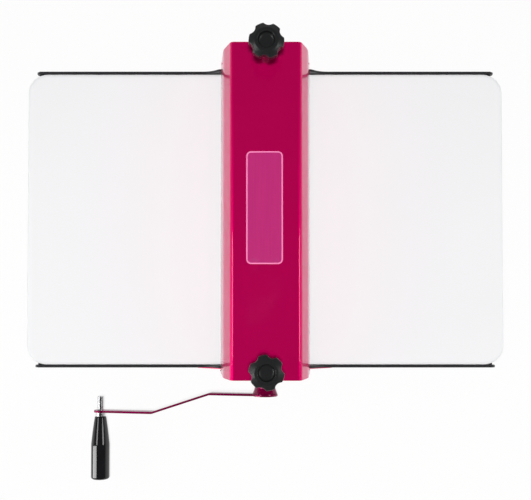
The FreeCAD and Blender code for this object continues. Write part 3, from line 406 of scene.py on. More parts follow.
def rod_profile(radius, low, high):
    """Profile of a plain rod that is turned about its axis."""
    return np.array([(0, low), (radius, low), (radius, high), (0, high)])


def slab(outline, normals, levels):
    """Rings of a slab: at each level (inset, height) the outline moves in along its normals."""
    levels = np.array(levels, float)
    flat = outline[None] - levels[:, :1, None] * normals[None]
    height = np.broadcast_to(levels[:, 1, None, None], flat.shape[:2] + (1,))
    return np.concatenate([flat, height], axis=-1)


def apply_modifiers(made):
    """Keeps the shape that the modifiers give, and clears them."""
    graph = bpy.context.evaluated_depsgraph_get()
    finished = bpy.data.meshes.new_from_object(made.evaluated_get(graph), preserve_all_data_layers=True,
                                               depsgraph=graph)
    rough = made.data
    finished.name = rough.name
    made.modifiers.clear()
    made.data = finished
    bpy.data.meshes.remove(rough)


def drill(made, cutters):
    """Cuts each closed cutter out of a piece."""
    for cutter in cutters:
        cut = made.modifiers.new("Hole", "BOOLEAN")
        cut.operation = "DIFFERENCE"
        cut.solver = "EXACT"
        cut.object = cutter
    apply_modifiers(made)
    for cutter in cutters:
        bpy.data.objects.remove(cutter)


def finish_piece(made, node, sharp_degrees=40.0, materials=None):
    """Gives a piece its materials and shading, and sets it in the place of its packed node.

    It is shaded smooth between edges sharper than the given angle, with flat faces kept flat.
    """
    for material in materials or [finish_of(SLOT_OF[node])]:
        made.data.materials.append(material)
    made.data.shade_smooth()
    made.data.set_sharp_from_angle(angle=math.radians(sharp_degrees))
    made.modifiers.new("Weighted normals", "WEIGHTED_NORMAL").keep_sharp = True
    apply_modifiers(made)
    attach(made, BODY_OF[node])
    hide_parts(node)


def turned_piece(name, node, profile, joint, columns=96):
    """Piece that is turned about the axis of a joint along Y."""
    grid = turned_grid(profile, joint_place(joint), "Y", columns)
    finish_piece(joined_mesh(name, [shell(grid)]), node, 50)


def softened_copy(node, edge):
    """Copy of a packed node with its triangles joined, and every sharp edge rounded."""
    made = new_object(node + "_finished", frame["nodes"][node].data.copy())
    made.data.materials.clear()
    mend(made.data, merge_distance=0.002 * MM, flatten=True)
    for layer in list(made.data.uv_layers):
        made.data.uv_layers.remove(layer)
    bevel = made.modifiers.new("Edges", "BEVEL")
    bevel.width = edge
    bevel.segments = 2
    bevel.limit_method = "ANGLE"
    bevel.angle_limit = math.radians(50)
    apply_modifiers(made)
    return made


# Materials

def add_node(tree, kind, inputs=None, **properties):
    """New shader node; a socket among the inputs is linked, and anything else becomes its value."""
    made = tree.nodes.new(kind)
    for key, value in properties.items():
        setattr(made, key, value)
    for socket, value in (inputs or {}).items():
        if isinstance(value, bpy.types.NodeSocket):
            tree.links.new(value, made.inputs[socket])
        else:
            made.inputs[socket].default_value = value
    return made


def noise(tree, coordinates, scale, detail=3.0, stretch=(1, 1, 1)):
    """Noise pattern, stretched along an axis where its factor is below the others."""
    mapped = add_node(tree, "ShaderNodeMapping", {"Vector": coordinates, "Scale": stretch})
    made = add_node(tree, "ShaderNodeTexNoise", {"Vector": mapped.outputs["Vector"], "Scale": scale,
                                                 "Detail": detail, "Roughness": 0.55})
    return made.outputs["Fac"]


def remap(tree, value, low, high, from_low=0.3, from_high=0.7):
    """Value carried from one range to another, held at both ends."""
    return add_node(tree, "ShaderNodeMapRange", {"Value": value, "From Min": from_low, "From Max": from_high,
                                                 "To Min": low, "To Max": high}).outputs["Result"]


def tinted(tree, value, tone, spread):
    """Colour between a tone's darkest and lightest share by a value."""
    ramp = add_node(tree, "ShaderNodeValToRGB", {"Fac": value})
    for stop, factor, position in zip(ramp.color_ramp.elements, spread, (0.3, 0.7)):
        stop.color = (*(min(1.0, part * factor) for part in tone), 1)
        stop.position = position
    return ramp.outputs["Color"]


def bump(tree, shader, height, depth, strength=1.0, socket="Normal"):
    """Relief of a depth in millimetres, from a height between nought and one."""
    made = add_node(tree, "ShaderNodeBump", {"Height": height, "Distance": depth * MM, "Strength": strength})
    tree.links.new(made.outputs["Normal"], shader.inputs[socket])


def patterned(name, tone, marks, spread, roughness, gloss_marks=None, relief=None, coat_depth=0.0, **sockets):
    """Material whose tone, roughness and relief follow noise in the object's own coordinates.

    A noise is (scale, detail, stretch), the spread holds the shares of the darkest and the
    lightest tone, and relief is (noise, depth, strength). Roughness and relief follow the
    tone's marks where they have no noise of their own. Further sockets are given by name,
    with an underscore for each blank.
    """
    material = bpy.data.materials.new(name)
    material.use_nodes = True
    tree = material.node_tree
    shader = tree.nodes["Principled BSDF"]
    coordinates = add_node(tree, "ShaderNodeTexCoord").outputs["Object"]
    pattern = noise(tree, coordinates, *marks)
    tone = tuple(getattr(looks().colours, tone))
    tree.links.new(tinted(tree, pattern, tone, spread), shader.inputs["Base Color"])
    gloss = noise(tree, coordinates, *gloss_marks) if gloss_marks else pattern
    tree.links.new(remap(tree, gloss, *roughness), shader.inputs["Roughness"])
    if relief:
        relief_marks, depth, strength = relief
        height = noise(tree, coordinates, *relief_marks) if relief_marks else pattern
        bump(tree, shader, height, depth, strength)
        if coat_depth:
            bump(tree, shader, height, coat_depth, socket="Coat Normal")
    for socket, value in sockets.items():
        shader.inputs[socket.replace("_", " ")].default_value = value
    return material


def metallic_enamel(name, tone, coat_roughness):
    """Metallic enamel under clear lacquer with a faint orange peel."""
    return patterned(name, tone, (9.0, 2.0), (0.975, 1.025), (0.30, 0.36), (60.0,),
                     ((260.0, 1.5), 0.004, 1.0), coat_depth=0.003, Metallic=0.55, Coat_Weight=0.65,
                     Coat_Roughness=coat_roughness, Coat_IOR=1.5, Specular_IOR_Level=0.0,
                     Specular_Tint=(1.0, 0.9, 1.0, 1.0))


def enamel():
    """Magenta enamel of the housing."""
    return metallic_enamel("magenta_enamel", "enamel", 0.02)


def crank_enamel():
    """Enamel of the crank: the housing's magenta darkened to burgundy, as painted shade."""
    return metallic_enamel("burgundy_enamel", "crank_enamel", 0.06)


def board_plastic():
    """Matt white board with a fine pebble, faint cloudiness and hairline press marks."""
    return patterned("board_plastic", "board", (7.0, 3.0), (0.992, 1.004), (0.56, 0.64),
                     (420.0, 2.0, (0.035, 1, 1)), ((1400.0, 2.0), 0.025, 0.6), Specular_IOR_Level=0.35)


def powder_coat():
    """Satin black powder coat with its fine grain."""
    return patterned("powder_coat", "powder", (1800.0, 2.0), (0.85, 1.2), (0.36, 0.46), (40.0,),
                     (None, 0.03, 0.5))


def moulded_plastic():
    """Satin black moulded plastic with a fine grain."""
    return patterned("moulded_plastic", "plastic", (900.0, 2.0), (0.9, 1.12), (0.30, 0.37), (90.0,),
                     (None, 0.012, 0.5), Specular_IOR_Level=0.4)


def polished_plastic():
    """Polished black plastic with faint flow marks along its length."""
    return patterned("polished_plastic", "polished", (90.0, 3.0, (1, 0.35, 1)), (0.85, 1.2), (0.07, 0.12))


def rubber():
    """Matt black rubber with a dusty bloom."""
    return patterned("rubber", "rubber", (120.0,), (0.8, 1.4), (0.72, 0.86),
                     relief=((1500.0,), 0.03, 0.6))


def metal(name, tone, roughness, scale, stretch=(1, 1, 1), spread=0.06):
    """Metal with tool marks: a noise stretched across the cut varies tone, roughness and height."""
    return patterned(name, tone, (scale, 3.0, stretch), (1 - spread, 1 + spread), roughness,
                     relief=(None, 0.004, 1.0), Metallic=1.0)


def ground_steel():
    """Ground steel with its marks round each bar."""
    return metal("ground_steel", "steel", (0.2, 0.34), 900.0, (0.02, 1, 0.02))


def zinc_plate():
    """Zinc plate with an even grain."""
    return metal("zinc_plate", "zinc", (0.24, 0.36), 260.0)


def black_oxide():
    """Black oxide with a cloudy grain."""
    return metal("black_oxide", "oxide", (0.34, 0.46), 500.0, spread=0.2)


def machined_iron():
    """Machined iron with its marks along Y."""
    return metal("machined_iron", "iron", (0.36, 0.5), 600.0, (1, 0.05, 1), 0.15)


def sintered_bronze():
    """Sintered bronze with a fine grain."""
    return metal("sintered_bronze", "bronze", (0.34, 0.5), 1100.0, spread=0.15)


def badge_face():
    """Glossy pink badge face with a faint brushed sheen along its length."""
    return patterned("badge_face", "badge_face", (900.0, 2.0, (1, 0.02, 1)), (0.96, 1.04), (0.28, 0.36),
                     relief=(None, 0.004, 1.0), Coat_Weight=0.6, Coat_Roughness=0.08)


def badge_rim():
    """Pale pink satin rim of the badge."""
    return patterned("badge_rim", "badge_rim", (500.0,), (0.97, 1.03), (0.26, 0.34))


FINISHES = {
    "body_paint": enamel,
    "crank_paint": crank_enamel,
    "black_paint": powder_coat,
    "badge": badge_face,
    "white_plastic": board_plastic,
    "black_plastic": moulded_plastic,
    "polished_plastic": polished_plastic,
    "rubber": rubber,
    "ground_steel": ground_steel,
    "zinc_steel": zinc_plate,
    "black_screws": black_oxide,
    "bearing_iron": machined_iron,
    "bronze": sintered_bronze,
}
made_finishes = {}


def finish_of(slot):
    """Material of a slot, made the first time that it is asked for."""
    if slot not in made_finishes:
        made_finishes[slot] = FINISHES[slot]()
    return made_finishes[slot]


# Pieces

def housing_outline(inset, low_z):
    """Outline of the housing from its left foot over the top to its right foot.

    For each inset it gives pairs (x, z). A tight bend turns from the flat top to the shoulder
    angle, the shoulder runs straight, a wide arc turns on to the wall angle, and the wall
    runs straight down. All arcs keep their centres and lose the inset from their radius.
    """
    sizes = looks().cover
    inset = np.atleast_1d(inset)[:, None]
    steep = sizes.shoulder_angle
    wall = sizes.wall_angle
    top_z = HOUSING_HIGH[2]
    bend_x = sizes.flat_half_width - sizes.bend_radius * math.tan((math.pi / 2 - steep) / 2)
    bend_z = top_z - sizes.bend_radius
    wide_radius = sizes.shoulder_drop / (math.sin(steep) - math.sin(wall))
    shoulder_run = sizes.shoulder_height * math.tan(steep)
    wide_x = bend_x + shoulder_run + (sizes.bend_radius - wide_radius) * math.cos(steep)
    wide_z = bend_z - sizes.shoulder_height + (sizes.bend_radius - wide_radius) * math.sin(steep)
    tight_points = 15
    wide_points = 11
    tight = np.linspace(math.pi / 2, steep, tight_points)[None]
    wide = np.linspace(steep, wall, wide_points)[None]
    tight_x = bend_x + (sizes.bend_radius - inset) * np.cos(tight)
    tight_z = bend_z + (sizes.bend_radius - inset) * np.sin(tight)
    shoulder_x = wide_x + (wide_radius - inset) * np.cos(wide)
    shoulder_z = wide_z + (wide_radius - inset) * np.sin(wide)
    foot_x = shoulder_x[:, -1:] + (shoulder_z[:, -1:] - low_z) * math.tan(wall)
    flat_beside_bend = 0.3 * MM
    flat_x = np.full_like(foot_x, bend_x - flat_beside_bend)
    x = np.hstack([flat_x, tight_x, shoulder_x, foot_x])
    z = np.hstack([top_z - inset, tight_z, shoulder_z, np.full_like(foot_x, low_z)])
    right = np.stack([x, z], axis=-1)
    left = np.stack([-x, z], axis=-1)[:, ::-1]
    return np.concatenate([left, right], axis=1)


def cover_shell():
    """The formed sheet as one closed surface.

    One parameter runs round the sheet's own section, a rounded oblong of the cover's length
    by the sheet's thickness, and the other over the housing's outline, which is inset by the
    section's depth. At both feet the section shrinks along a quarter circle into a hem.
    """
    sizes = looks().cover
    half_length = (HOUSING_HIGH[1] - HOUSING_LOW[1]) / 2
    section = rounded_path([(-half_length, 0, sizes.end_rounding), (half_length, 0, sizes.end_rounding),
                            (half_length, sizes.sheet, sizes.inner_rounding),
                            (-half_length, sizes.sheet, sizes.inner_rounding)], closed=True)
    along = section[:, 0]
    inset = section[:, 1]
    hem = sizes.sheet / 2
    low_z = HOUSING_LOW[2] + hem
    outline = housing_outline(inset, low_z)
    rings = np.stack([outline[..., 0], np.broadcast_to(along[:, None], outline.shape[:2]),
                      outline[..., 1]], axis=-1).transpose(1, 0, 2)
    hem_turns = np.radians([25.0, 50.0, 70.0, 85.0])
    feet = []
    for turn in hem_turns:
        foot = housing_outline(hem + (inset - hem) * math.cos(turn), low_z)[:, -1]
        shorter = along - np.sign(along) * hem * (1 - math.cos(turn))
        drop = np.full_like(along, low_z - hem * math.sin(turn))
        feet.append(np.stack([foot[:, 0], shorter, drop], axis=-1))
    right = np.stack(feet)
    left = right[::-1] * np.array([-1, 1, 1])
    grid = np.concatenate([left, rings, right])
    grid[..., 1] += HOUSING_MIDDLE_Y
    return shell(grid, capped=True)


def cover_tabs():
    """The four screwed tabs in the lower corners, as small rounded slabs."""
    sizes = looks().cover
    nut_low, nut_high = box_of("cover_nuts")
    screw_z = (nut_low[2] + nut_high[2]) / 2
    screw_x = nut_high[0] - (nut_high[2] - nut_low[2]) / math.sqrt(3)
    wall = housing_outline(sizes.sheet, screw_z - sizes.tab_height / 2)[0, -1, 0]
    half_width = (wall + sizes.sheet / 2 - (screw_x - sizes.tab_reach)) / 2
    centre_x = wall + sizes.sheet / 2 - half_width
    corner = 1.5 * MM
    edge = 0.3 * MM
    outline, normals = rounded_rectangle(half_width, sizes.tab_height / 2, corner, 5)
    grid = slab(outline, normals, [(edge, 0.0), (0.0, edge), (0.0, sizes.sheet - edge), (edge, sizes.sheet)])
    shells = []
    for side in (-1, 1):
        for start in (nut_low[1] - sizes.sheet, nut_high[1]):
            placed = np.stack([side * (centre_x + grid[..., 0]), start + grid[..., 2],
                               screw_z + grid[..., 1]], axis=-1)
            shells.append(shell(placed, capped=True))
    return shells


def make_cover():
    """Formed cover with its tabs, drilled for both pressure screws."""
    made = joined_mesh("cover_shell", [cover_shell()] + cover_tabs())
    top = HOUSING_HIGH[2]
    past_sheet = 3 * MM
    profile = rod_profile(looks().cover.screw_hole, top - past_sheet, top + past_sheet)
    cutters = []
    for node in ("far_pressure_screw", "near_pressure_screw"):
        low, high = box_of(node)
        cutters.append(joined_mesh("hole", [shell(turned_grid(profile, (low + high) / 2, "Z", 48))]))
    drill(made, cutters)
    finish_piece(made, "top_cover", 30)


def make_badge():
    """Badge with a raised rim round a bare face, as rings that step in from its outline."""
    sizes = looks().board
    low, high = box_of("badge_plate")
    half = (high - low) / 2
    outline, normals = rounded_rectangle(half[0], half[1], sizes.badge_corner, 10)
    top = high[2]
    edge = sizes.badge_edge
    rim = sizes.badge_rim
    floor = top - sizes.badge_recess
    step = 0.1 * MM
    step_drop = 0.06 * MM
    foot = 0.4 * MM
    flat = 1.5 * MM
    sweep = np.linspace(0, math.pi / 2, 5)
    rounding = np.stack([edge * (1 - np.cos(sweep)), top - edge * (1 - np.sin(sweep))], axis=-1)
    levels = np.vstack([[(0, low[2])], rounding, [(rim - step, top), (rim, top - step_drop)],
                        [(rim + step, floor), (rim + foot, floor), (rim + flat, floor)]])
    grid = slab(outline + ((low + high) / 2)[:2], normals, levels)
    face_start = len(levels) - 4
    made = joined_mesh("badge", [shell(grid, capped=True, material_rows=face_start)])
    finish_piece(made, "badge_plate", materials=[badge_rim(), finish_of("badge")])


def make_board():
    """Cutting board: its rounded oblong steps in at each height by the edge's own profile.

    The profile runs from face to face: a soft corner leads to a shallow bevel, and a small
    rounding to the upright side.
    """
    sizes = looks().board
    low, high = box_of("cutting_plate")
    half = (high - low) / 2
    outline, normals = rounded_rectangle(half[0], half[1], sizes.corner, 24)
    bevel = sizes.bevel_width
    drop = sizes.bevel_drop
    inside = bevel + 3 * MM
    levels = rounded_path([(inside, low[2], 0), (bevel, low[2], sizes.bevel_blend),
                           (0, low[2] + drop, sizes.edge), (0, high[2] - drop, sizes.edge),
                           (bevel, high[2], sizes.bevel_blend), (inside, high[2], 0)], steps=5)
    grid = slab(outline + ((low + high) / 2)[:2], normals, levels)
    finish_piece(joined_mesh("cutting_board", [shell(grid, capped=True)]), "cutting_plate")


def star_radius(around):
    """Distance of the star's edge from its middle at each angle.

    Between lobes the edge follows a scallop circle, elsewhere the round rim, and the smaller
    of the two is taken softly, through the logarithm of their summed exponentials.
    """
    sizes = looks().knob
    step = FULL_TURN / sizes.lobes
    from_hollow = (around + step / 2) % step - step / 2
    distance = sizes.radius - sizes.scallop_depth + sizes.scallop_radius
    under_root = sizes.scallop_radius ** 2 - (distance * np.sin(from_hollow)) ** 2
    hollow = distance * np.cos(from_hollow) - np.sqrt(np.maximum(under_root, 0))
    soft = sizes.lobe_blend
    lowest = np.minimum(hollow, sizes.radius)
    return lowest - soft * np.log(np.exp((lowest - hollow) / soft) + np.exp((lowest - sizes.radius) / soft))


def screw_axis(node):
    """Point on the upright axis of the pressure screw that a knob or screw belongs to."""
    name = "far_knob_turn" if node.startswith("far") else "near_knob_turn"
    return joint_place(name)


def knob_grid(node, turn):
    """Rings of a star knob, from the bottom of its bore round the outside to its dished top.

    A profile gives each ring's radius and height, and a share that blends the ring from a
    circle into the star: there the ring is the star's edge, less how far the profile lies
    inside the rim. The upper rings are then lifted to where they meet the cone that slopes
    from the round top to the rim.
    """
    sizes = looks().knob
    low, high = box_of(node)
    base = low[2]
    top = high[2]
    head = top - sizes.head_height
    bore_end = base + sizes.bore_depth
    floor = top - sizes.recess_depth
    edge = sizes.edge
    rim = sizes.radius
    hub_top = sizes.hub_radius + sizes.hub_flare
    profile = rounded_path([(0, bore_end, 0), (sizes.bore_radius, bore_end, 0),
                            (sizes.bore_radius, base, 0.4 * MM), (sizes.hub_radius, base, 0.8 * MM),
                            (hub_top, head, 1.5 * MM), (rim, head, edge),
                            (rim, head + sizes.side_height, edge),
                            (sizes.top_radius, top, sizes.top_blend),
                            (sizes.recess_radius, top, 0.9 * MM),
                            (sizes.recess_radius - 0.6 * MM, floor, 3.2 * MM),
                            (0, floor - 0.6 * MM, 0)], steps=7)
    around = np.linspace(0, FULL_TURN, sizes.lobes * 24, endpoint=False)
    radius = profile[:, :1]
    height = profile[:, 1:]
    round_margin = 1.2 * MM
    inner = max(hub_top, sizes.recess_radius) + round_margin
    share = np.clip((radius - inner) / (rim - edge - inner), 0, 1)
    share = share * share * (3 - 2 * share)
    edge_radius = star_radius(around - turn + FULL_TURN / sizes.lobes / 2)[None]
    ring = radius * (1 - share) + (edge_radius - (rim - radius)) * share
    slope = (sizes.head_height - sizes.side_height) / (rim - sizes.top_radius)
    lift = slope * (np.maximum(radius, sizes.top_radius) - np.maximum(ring, sizes.top_radius))
    height = height + np.where(height > head + sizes.side_height / 2, lift, 0)
    x = (low[0] + high[0]) / 2 + ring * np.cos(around)
    y = screw_axis(node)[1] + ring * np.sin(around)
    return np.stack([x, y, height], axis=-1)


def make_knob(node, turn):
    """Star knob with its lobes at the given turn."""
    finish_piece(joined_mesh(node + "_star", [shell(knob_grid(node, turn))]), node, 50)


def make_pressure_screw(node):
    """Pressure screw: a collar below, and a thread cut as a triangle wave along a helix."""
    sizes = looks().knob
    low, high = box_of(node)
    centre = screw_axis(node) * np.array([0, 1, 0])
    bottom = low[2]
    top = high[2]
    thread_low = bottom + sizes.collar_height
    collar = rounded_path([(0, bottom, 0), (sizes.collar_radius, bottom, 0.4 * MM),
                           (sizes.collar_radius, thread_low, 0.4 * MM),
                           (sizes.screw_radius - sizes.thread_depth, thread_low, 0)], steps=4)
    columns = 32
    steps_per_turn = 8
    turns = (top - thread_low) / sizes.pitch
    height = np.linspace(thread_low, top, int(turns * steps_per_turn))[1:]
    around = np.linspace(0, 1, columns, endpoint=False)[None]
    phase = (height[:, None] / sizes.pitch - around) % 1
    steepness = 2.6
    crest_flat = 0.3
    wave = np.clip(np.abs(phase - 0.5) * steepness - crest_flat, 0, 1)
    fade = np.clip(np.minimum(height - thread_low, top - height) / sizes.pitch, 0, 1)[:, None]
    ripple = -sizes.thread_depth * (wave * fade + (1 - fade))
    thread_profile = np.stack([np.full_like(height, sizes.screw_radius), height], axis=-1)
    grid = np.concatenate([turned_grid(collar, centre, "Z", columns),
                           turned_grid(thread_profile, centre, "Z", columns, ripple),
                           turned_grid(np.array([(0, top)]), centre, "Z", columns)])
    finish_piece(joined_mesh(node + "_thread", [shell(grid)]), node, 60)


def make_hub():
    """Crank hub: a turned sleeve with a flare beside the arm and a spigot through its eye."""
    sizes = looks().crank
    low, high = box_of("crank_hub")
    outer = low[1]
    inner = high[1]
    shoulder = outer + sizes.arm_thickness
    centre = joint_place("crank_turn")
    profile = rounded_path([(sizes.bore_radius, inner, 0.3 * MM), (sizes.bore_radius, outer, 0.4 * MM),
                            (sizes.spigot_radius, outer, 0.4 * MM), (sizes.spigot_radius, shoulder, 0),
                            (sizes.flare_radius, shoulder, 0.6 * MM),
                            (sizes.hub_radius, shoulder + sizes.flare_length, 6.0 * MM),
                            (sizes.hub_radius, inner, 0.9 * MM)], closed=True)
    made = joined_mesh("crank_hub_boss", [shell(turned_grid(profile, centre, "Y", 96), close_rows=True)])
    screw_low, screw_high = box_of("hub_set_screw")
    screw_y = (screw_low[1] + screw_high[1]) / 2
    past_hub = 20 * MM
    hole = turned_grid(rod_profile(sizes.set_screw_hole, 0, past_hub), np.zeros(3), "Z", 40)
    x, y, z = np.moveaxis(hole, -1, 0)
    cosine = math.cos(sizes.drop)
    sine = math.sin(sizes.drop)
    tilted = np.stack([centre[0] + x * cosine - z * sine, screw_y + y, centre[2] + x * sine + z * cosine],
                      axis=-1)
    drill(made, [joined_mesh("hole", [shell(tilted)])])
    finish_piece(made, "crank_hub", 35)


def make_stud():
    """Handle stud: a ground pin with a chamfered tip and a collar against the arm."""
    sizes = looks().crank
    low, high = box_of("handle_stud")
    tip = high[1]
    end = low[1]
    collar_high = tip - sizes.collar_start
    collar_low = collar_high - sizes.collar_length
    collar = (high[0] - low[0]) / 2
    pin = sizes.stud_radius
    chamfer = 0.6 * MM
    profile = rounded_path([(0, tip, 0), (pin - chamfer, tip, 0.15 * MM), (pin, tip - chamfer, 0.15 * MM),
                            (pin, collar_high, 0.2 * MM), (collar, collar_high, 0.4 * MM),
                            (collar, collar_low, 0.4 * MM), (pin, collar_low, 0.2 * MM),
                            (pin, end, 0.3 * MM), (0, end, 0)], steps=4)
    turned_piece("handle_stud_pin", "handle_stud", profile, "handle_spin", 64)


def make_grip():
    """Revolving grip: bore, neck, taper, straight barrel and domed end.

    The taper runs straight and swells by half a wave of a sine. The dome is a parabola.
    """
    sizes = looks().crank
    low, high = box_of("handle_grip")
    start = high[1]
    end = low[1]
    clearance = 0.05 * MM
    bore = sizes.stud_radius + clearance
    bore_end = start - sizes.grip_bore
    along = np.linspace(0, 1, 25)
    radius = sizes.neck_radius + (sizes.grip_radius - sizes.neck_radius) * along
    radius = radius + sizes.bulge * np.sin(math.pi * along)
    taper = np.stack([radius, start - sizes.taper * along], axis=-1)[1:]
    mouth = rounded_path([(0, bore_end, 0), (bore, bore_end, 0), (bore, start, 0.3 * MM),
                          (sizes.neck_radius, start, 0.8 * MM), (*taper[0], 0)])
    corner = end + sizes.end_dome
    shoulder = sizes.grip_radius - sizes.end_rounding
    past_taper = 1 * MM
    barrel = rounded_path([(sizes.grip_radius, start - sizes.taper - past_taper, 0),
                           (sizes.grip_radius, corner, sizes.end_rounding), (shoulder, corner, 0)], steps=12)
    out = np.linspace(1, 0, 9)[1:]
    dome = np.stack([shoulder * out, corner - sizes.end_dome * (1 - out ** 2)], axis=-1)
    profile = np.vstack([mouth, taper, barrel[:-1], dome])
    turned_piece("grip", "handle_grip", profile, "handle_spin")


END_PLAY = 0.3 * MM


def bar_end(radius, end, chamfer):
    """Profile of a bar's end from its axis; the chamfer is negative at the end with the higher Y."""
    return [(0, end, 0), (radius - abs(chamfer), end, 0), (radius, end + chamfer, 0)]


def make_roller(name, node, joint, near_part, far_part):
    """Turned roller from the profile of its near part, the barrel, and the profile of its far part."""
    sizes = looks().roller
    low, high = box_of("upper_roller")
    barrel = (high[2] - low[2]) / 2
    journal = sizes.journal_radius
    reach = box_of("far_block_bush")[0][1] - HOUSING_MIDDLE_Y - END_PLAY
    near = HOUSING_MIDDLE_Y - reach
    far = HOUSING_MIDDLE_Y + reach
    profile = rounded_path(near_part + [(journal, near, 0.4 * MM), (barrel, near, sizes.edge),
                                        (barrel, far, sizes.edge), (journal, far, 0.4 * MM)] + far_part)
    turned_piece(name, node, profile, joint)


def make_rollers():
    """Both rollers; the lower one also has the crank's stub and a groove for the retaining ring."""
    sizes = looks().roller
    journal = sizes.journal_radius
    chamfer = sizes.chamfer
    low, high = box_of("upper_roller")
    make_roller("idle_roller_bar", "upper_roller", "idle_roller_turn", bar_end(journal, low[1], chamfer),
                bar_end(journal, high[1], -chamfer)[::-1])
    low, high = box_of("lower_roller")
    step = box_of("thrust_washer")[0][1] - END_PLAY
    stub = bar_end(sizes.stub_radius, low[1], chamfer) + [(sizes.stub_radius, step, 0),
                                                          (journal, step, 0.3 * MM)]
    groove = box_of("retaining_ring")[0][1]
    groove_end = groove + sizes.groove_width
    deep = journal - sizes.groove_depth
    grooved = [(journal, groove, 0), (deep, groove, 0), (deep, groove_end, 0), (journal, groove_end, 0)]
    make_roller("drive_roller_bar", "lower_roller", "crank_turn", stub,
                grooved + bar_end(journal, high[1], -chamfer)[::-1])


def make_feet():
    """Four rubber feet: turned cones with moulded rings and a sunk seat for the screw.

    The rings are three waves of a raised cosine along the foot's side.
    """
    sizes = looks().roller
    low, high = box_of("rubber_feet")
    height = high[2]
    screw_head = 4.75 * MM
    radius = high[0] - box_of("feet_screws")[1][0] + screw_head
    hole = 2.8 * MM
    rings = 3
    along = np.linspace(0.16, 0.84, 25)
    ring = sizes.foot_rib * 0.5 * (1 - np.cos(FULL_TURN * rings * along))
    side = np.stack([radius - sizes.foot_taper * along - ring, height * along], axis=-1)
    under = rounded_path([(hole, height, 0), (hole, sizes.foot_seat_depth, 0.2 * MM),
                          (sizes.foot_seat_radius, sizes.foot_seat_depth, 0.3 * MM),
                          (sizes.foot_seat_radius, 0, 0.4 * MM), (radius, 0, 1.0 * MM),
                          (*side[0], 0)], steps=4)
    over = rounded_path([(*side[-1], 0), (radius - sizes.foot_taper, height, 0.6 * MM),
                         (hole, height, 0)], steps=4)
    profile = np.vstack([under, side[1:-1], over[:-1]])
    shells = []
    for x in (low[0] + radius, high[0] - radius):
        for y in (low[1] + radius, high[1] - radius):
            shells.append(shell(turned_grid(profile, (x, y, 0), "Z", 56), close_rows=True))
    finish_piece(joined_mesh("feet", shells), "rubber_feet", 60)


def hexagon(around, corner):
    """Distance of a hexagon's edge from its middle at each angle, from its corner radius."""
    sixth = FULL_TURN / 6
    return corner * math.cos(sixth / 2) / np.cos(around % sixth - sixth / 2)


def flush_screw_grid(radius, tip, face, centre):
    """Rings of a countersunk socket screw along Y, from the tip of its shank to its socket's floor.

    The shank and the cone of the head are circles, and the socket's rings are a hexagon.
    """
    sizes = looks().roller
    outward = 1 if face > tip else -1
    whole = abs(face - tip)
    head = radius * sizes.head_ratio
    socket = radius * sizes.socket_ratio
    floor = whole - radius * sizes.socket_depth
    chamfer = 0.4 * MM
    mouth_chamfer = 0.12 * MM
    mouth_ratio = 1.06
    flat_ratio = 1.1
    drill_point = radius * 0.2
    around = np.linspace(0, FULL_TURN, 48, endpoint=False)[None]
    round_part = rounded_path(bar_end(radius, 0, chamfer) + [(radius, whole - (head - radius), 0.2 * MM),
                                                            (head, whole, sizes.head_edge),
                                                            (socket * flat_ratio, whole, 0)])
    rings = np.broadcast_to(round_part[:, :1], (len(round_part), around.size))
    mouth = hexagon(around, socket)
    ring = np.concatenate([rings, mouth * mouth_ratio, mouth, mouth, mouth * 0])
    along = np.concatenate([round_part[:, 1], [whole, whole - mouth_chamfer, floor, floor - drill_point]])
    y = np.broadcast_to(tip + outward * along[:, None], ring.shape)
    return np.stack([centre[0] + ring * np.cos(around), y, centre[1] + ring * np.sin(around)], axis=-1)


def screw_places(node):
    """Places (x, z) of a node's screws, from the middles of its heads' points, and all its points."""
    mesh = frame["nodes"][node].data
    points = np.zeros(len(mesh.vertices) * 3)
    mesh.vertices.foreach_get("co", points)
    points = points.reshape(-1, 3)
    face_depth = 0.1 * MM
    widest_head = 13 * MM
    heads = points[points[:, 1] > points[:, 1].max() - face_depth]
    places = []
    while len(heads):
        near = np.linalg.norm(heads[:, (0, 2)] - heads[0, (0, 2)], axis=1) < widest_head
        group_of_points = heads[near]
        middle = (group_of_points.min(axis=0) + group_of_points.max(axis=0)) / 2
        places.append((middle[0], middle[2]))
        heads = heads[~near]
    return places, points


SHANK_RADIUS = {"tie_bar_screws": 3.0 * MM, "bridge_screws": 3.0 * MM, "bearing_screws": 2.5 * MM,
                "guide_screws": 2.5 * MM, "table_bolts": 3.0 * MM, "cover_screws": 2.0 * MM}


def make_flush_screws():
    """Countersunk socket screws in both end plates, at the places of the packed ones."""
    for node, radius in SHANK_RADIUS.items():
        places, points = screw_places(node)
        face = points[:, 1].max() - HOUSING_MIDDLE_Y
        tip = points[points[:, 1] > HOUSING_MIDDLE_Y][:, 1].min() - HOUSING_MIDDLE_Y
        shells = []
        for centre in places:
            for end in (1, -1):
                shells.append(shell(flush_screw_grid(radius, HOUSING_MIDDLE_Y + end * tip,
                                                     HOUSING_MIDDLE_Y + end * face, centre)))
        finish_piece(joined_mesh(node + "_flush", shells), node)


EDGE_OF_SLOT = {"body_paint": 0.5 * MM, "crank_paint": 0.5 * MM, "black_paint": 0.4 * MM,
                "ground_steel": 0.5 * MM, "zinc_steel": 0.2 * MM, "black_screws": 0.2 * MM,
                "bearing_iron": 0.6 * MM, "bronze": 0.2 * MM}


def make_softened_parts():
    """Every packed part that no piece replaces yet, as a copy with rounded edges."""
    for node, source in frame["nodes"].items():
        if not source.hide_render:
            finish_piece(softened_copy(node, EDGE_OF_SLOT[SLOT_OF[node]]), node, 32)


# Stage

def combined(tree, operation, first, second):
    """Output of a sum done on two values."""
    return add_node(tree, "ShaderNodeMath", {0: first, 1: second}, operation=operation).outputs[0]


def mixed(tree, share, first, second):
    """Output of a mix of two shaders; the share is the second one's."""
    return add_node(tree, "ShaderNodeMixShader", {"Fac": share, 1: first, 2: second}).outputs[0]


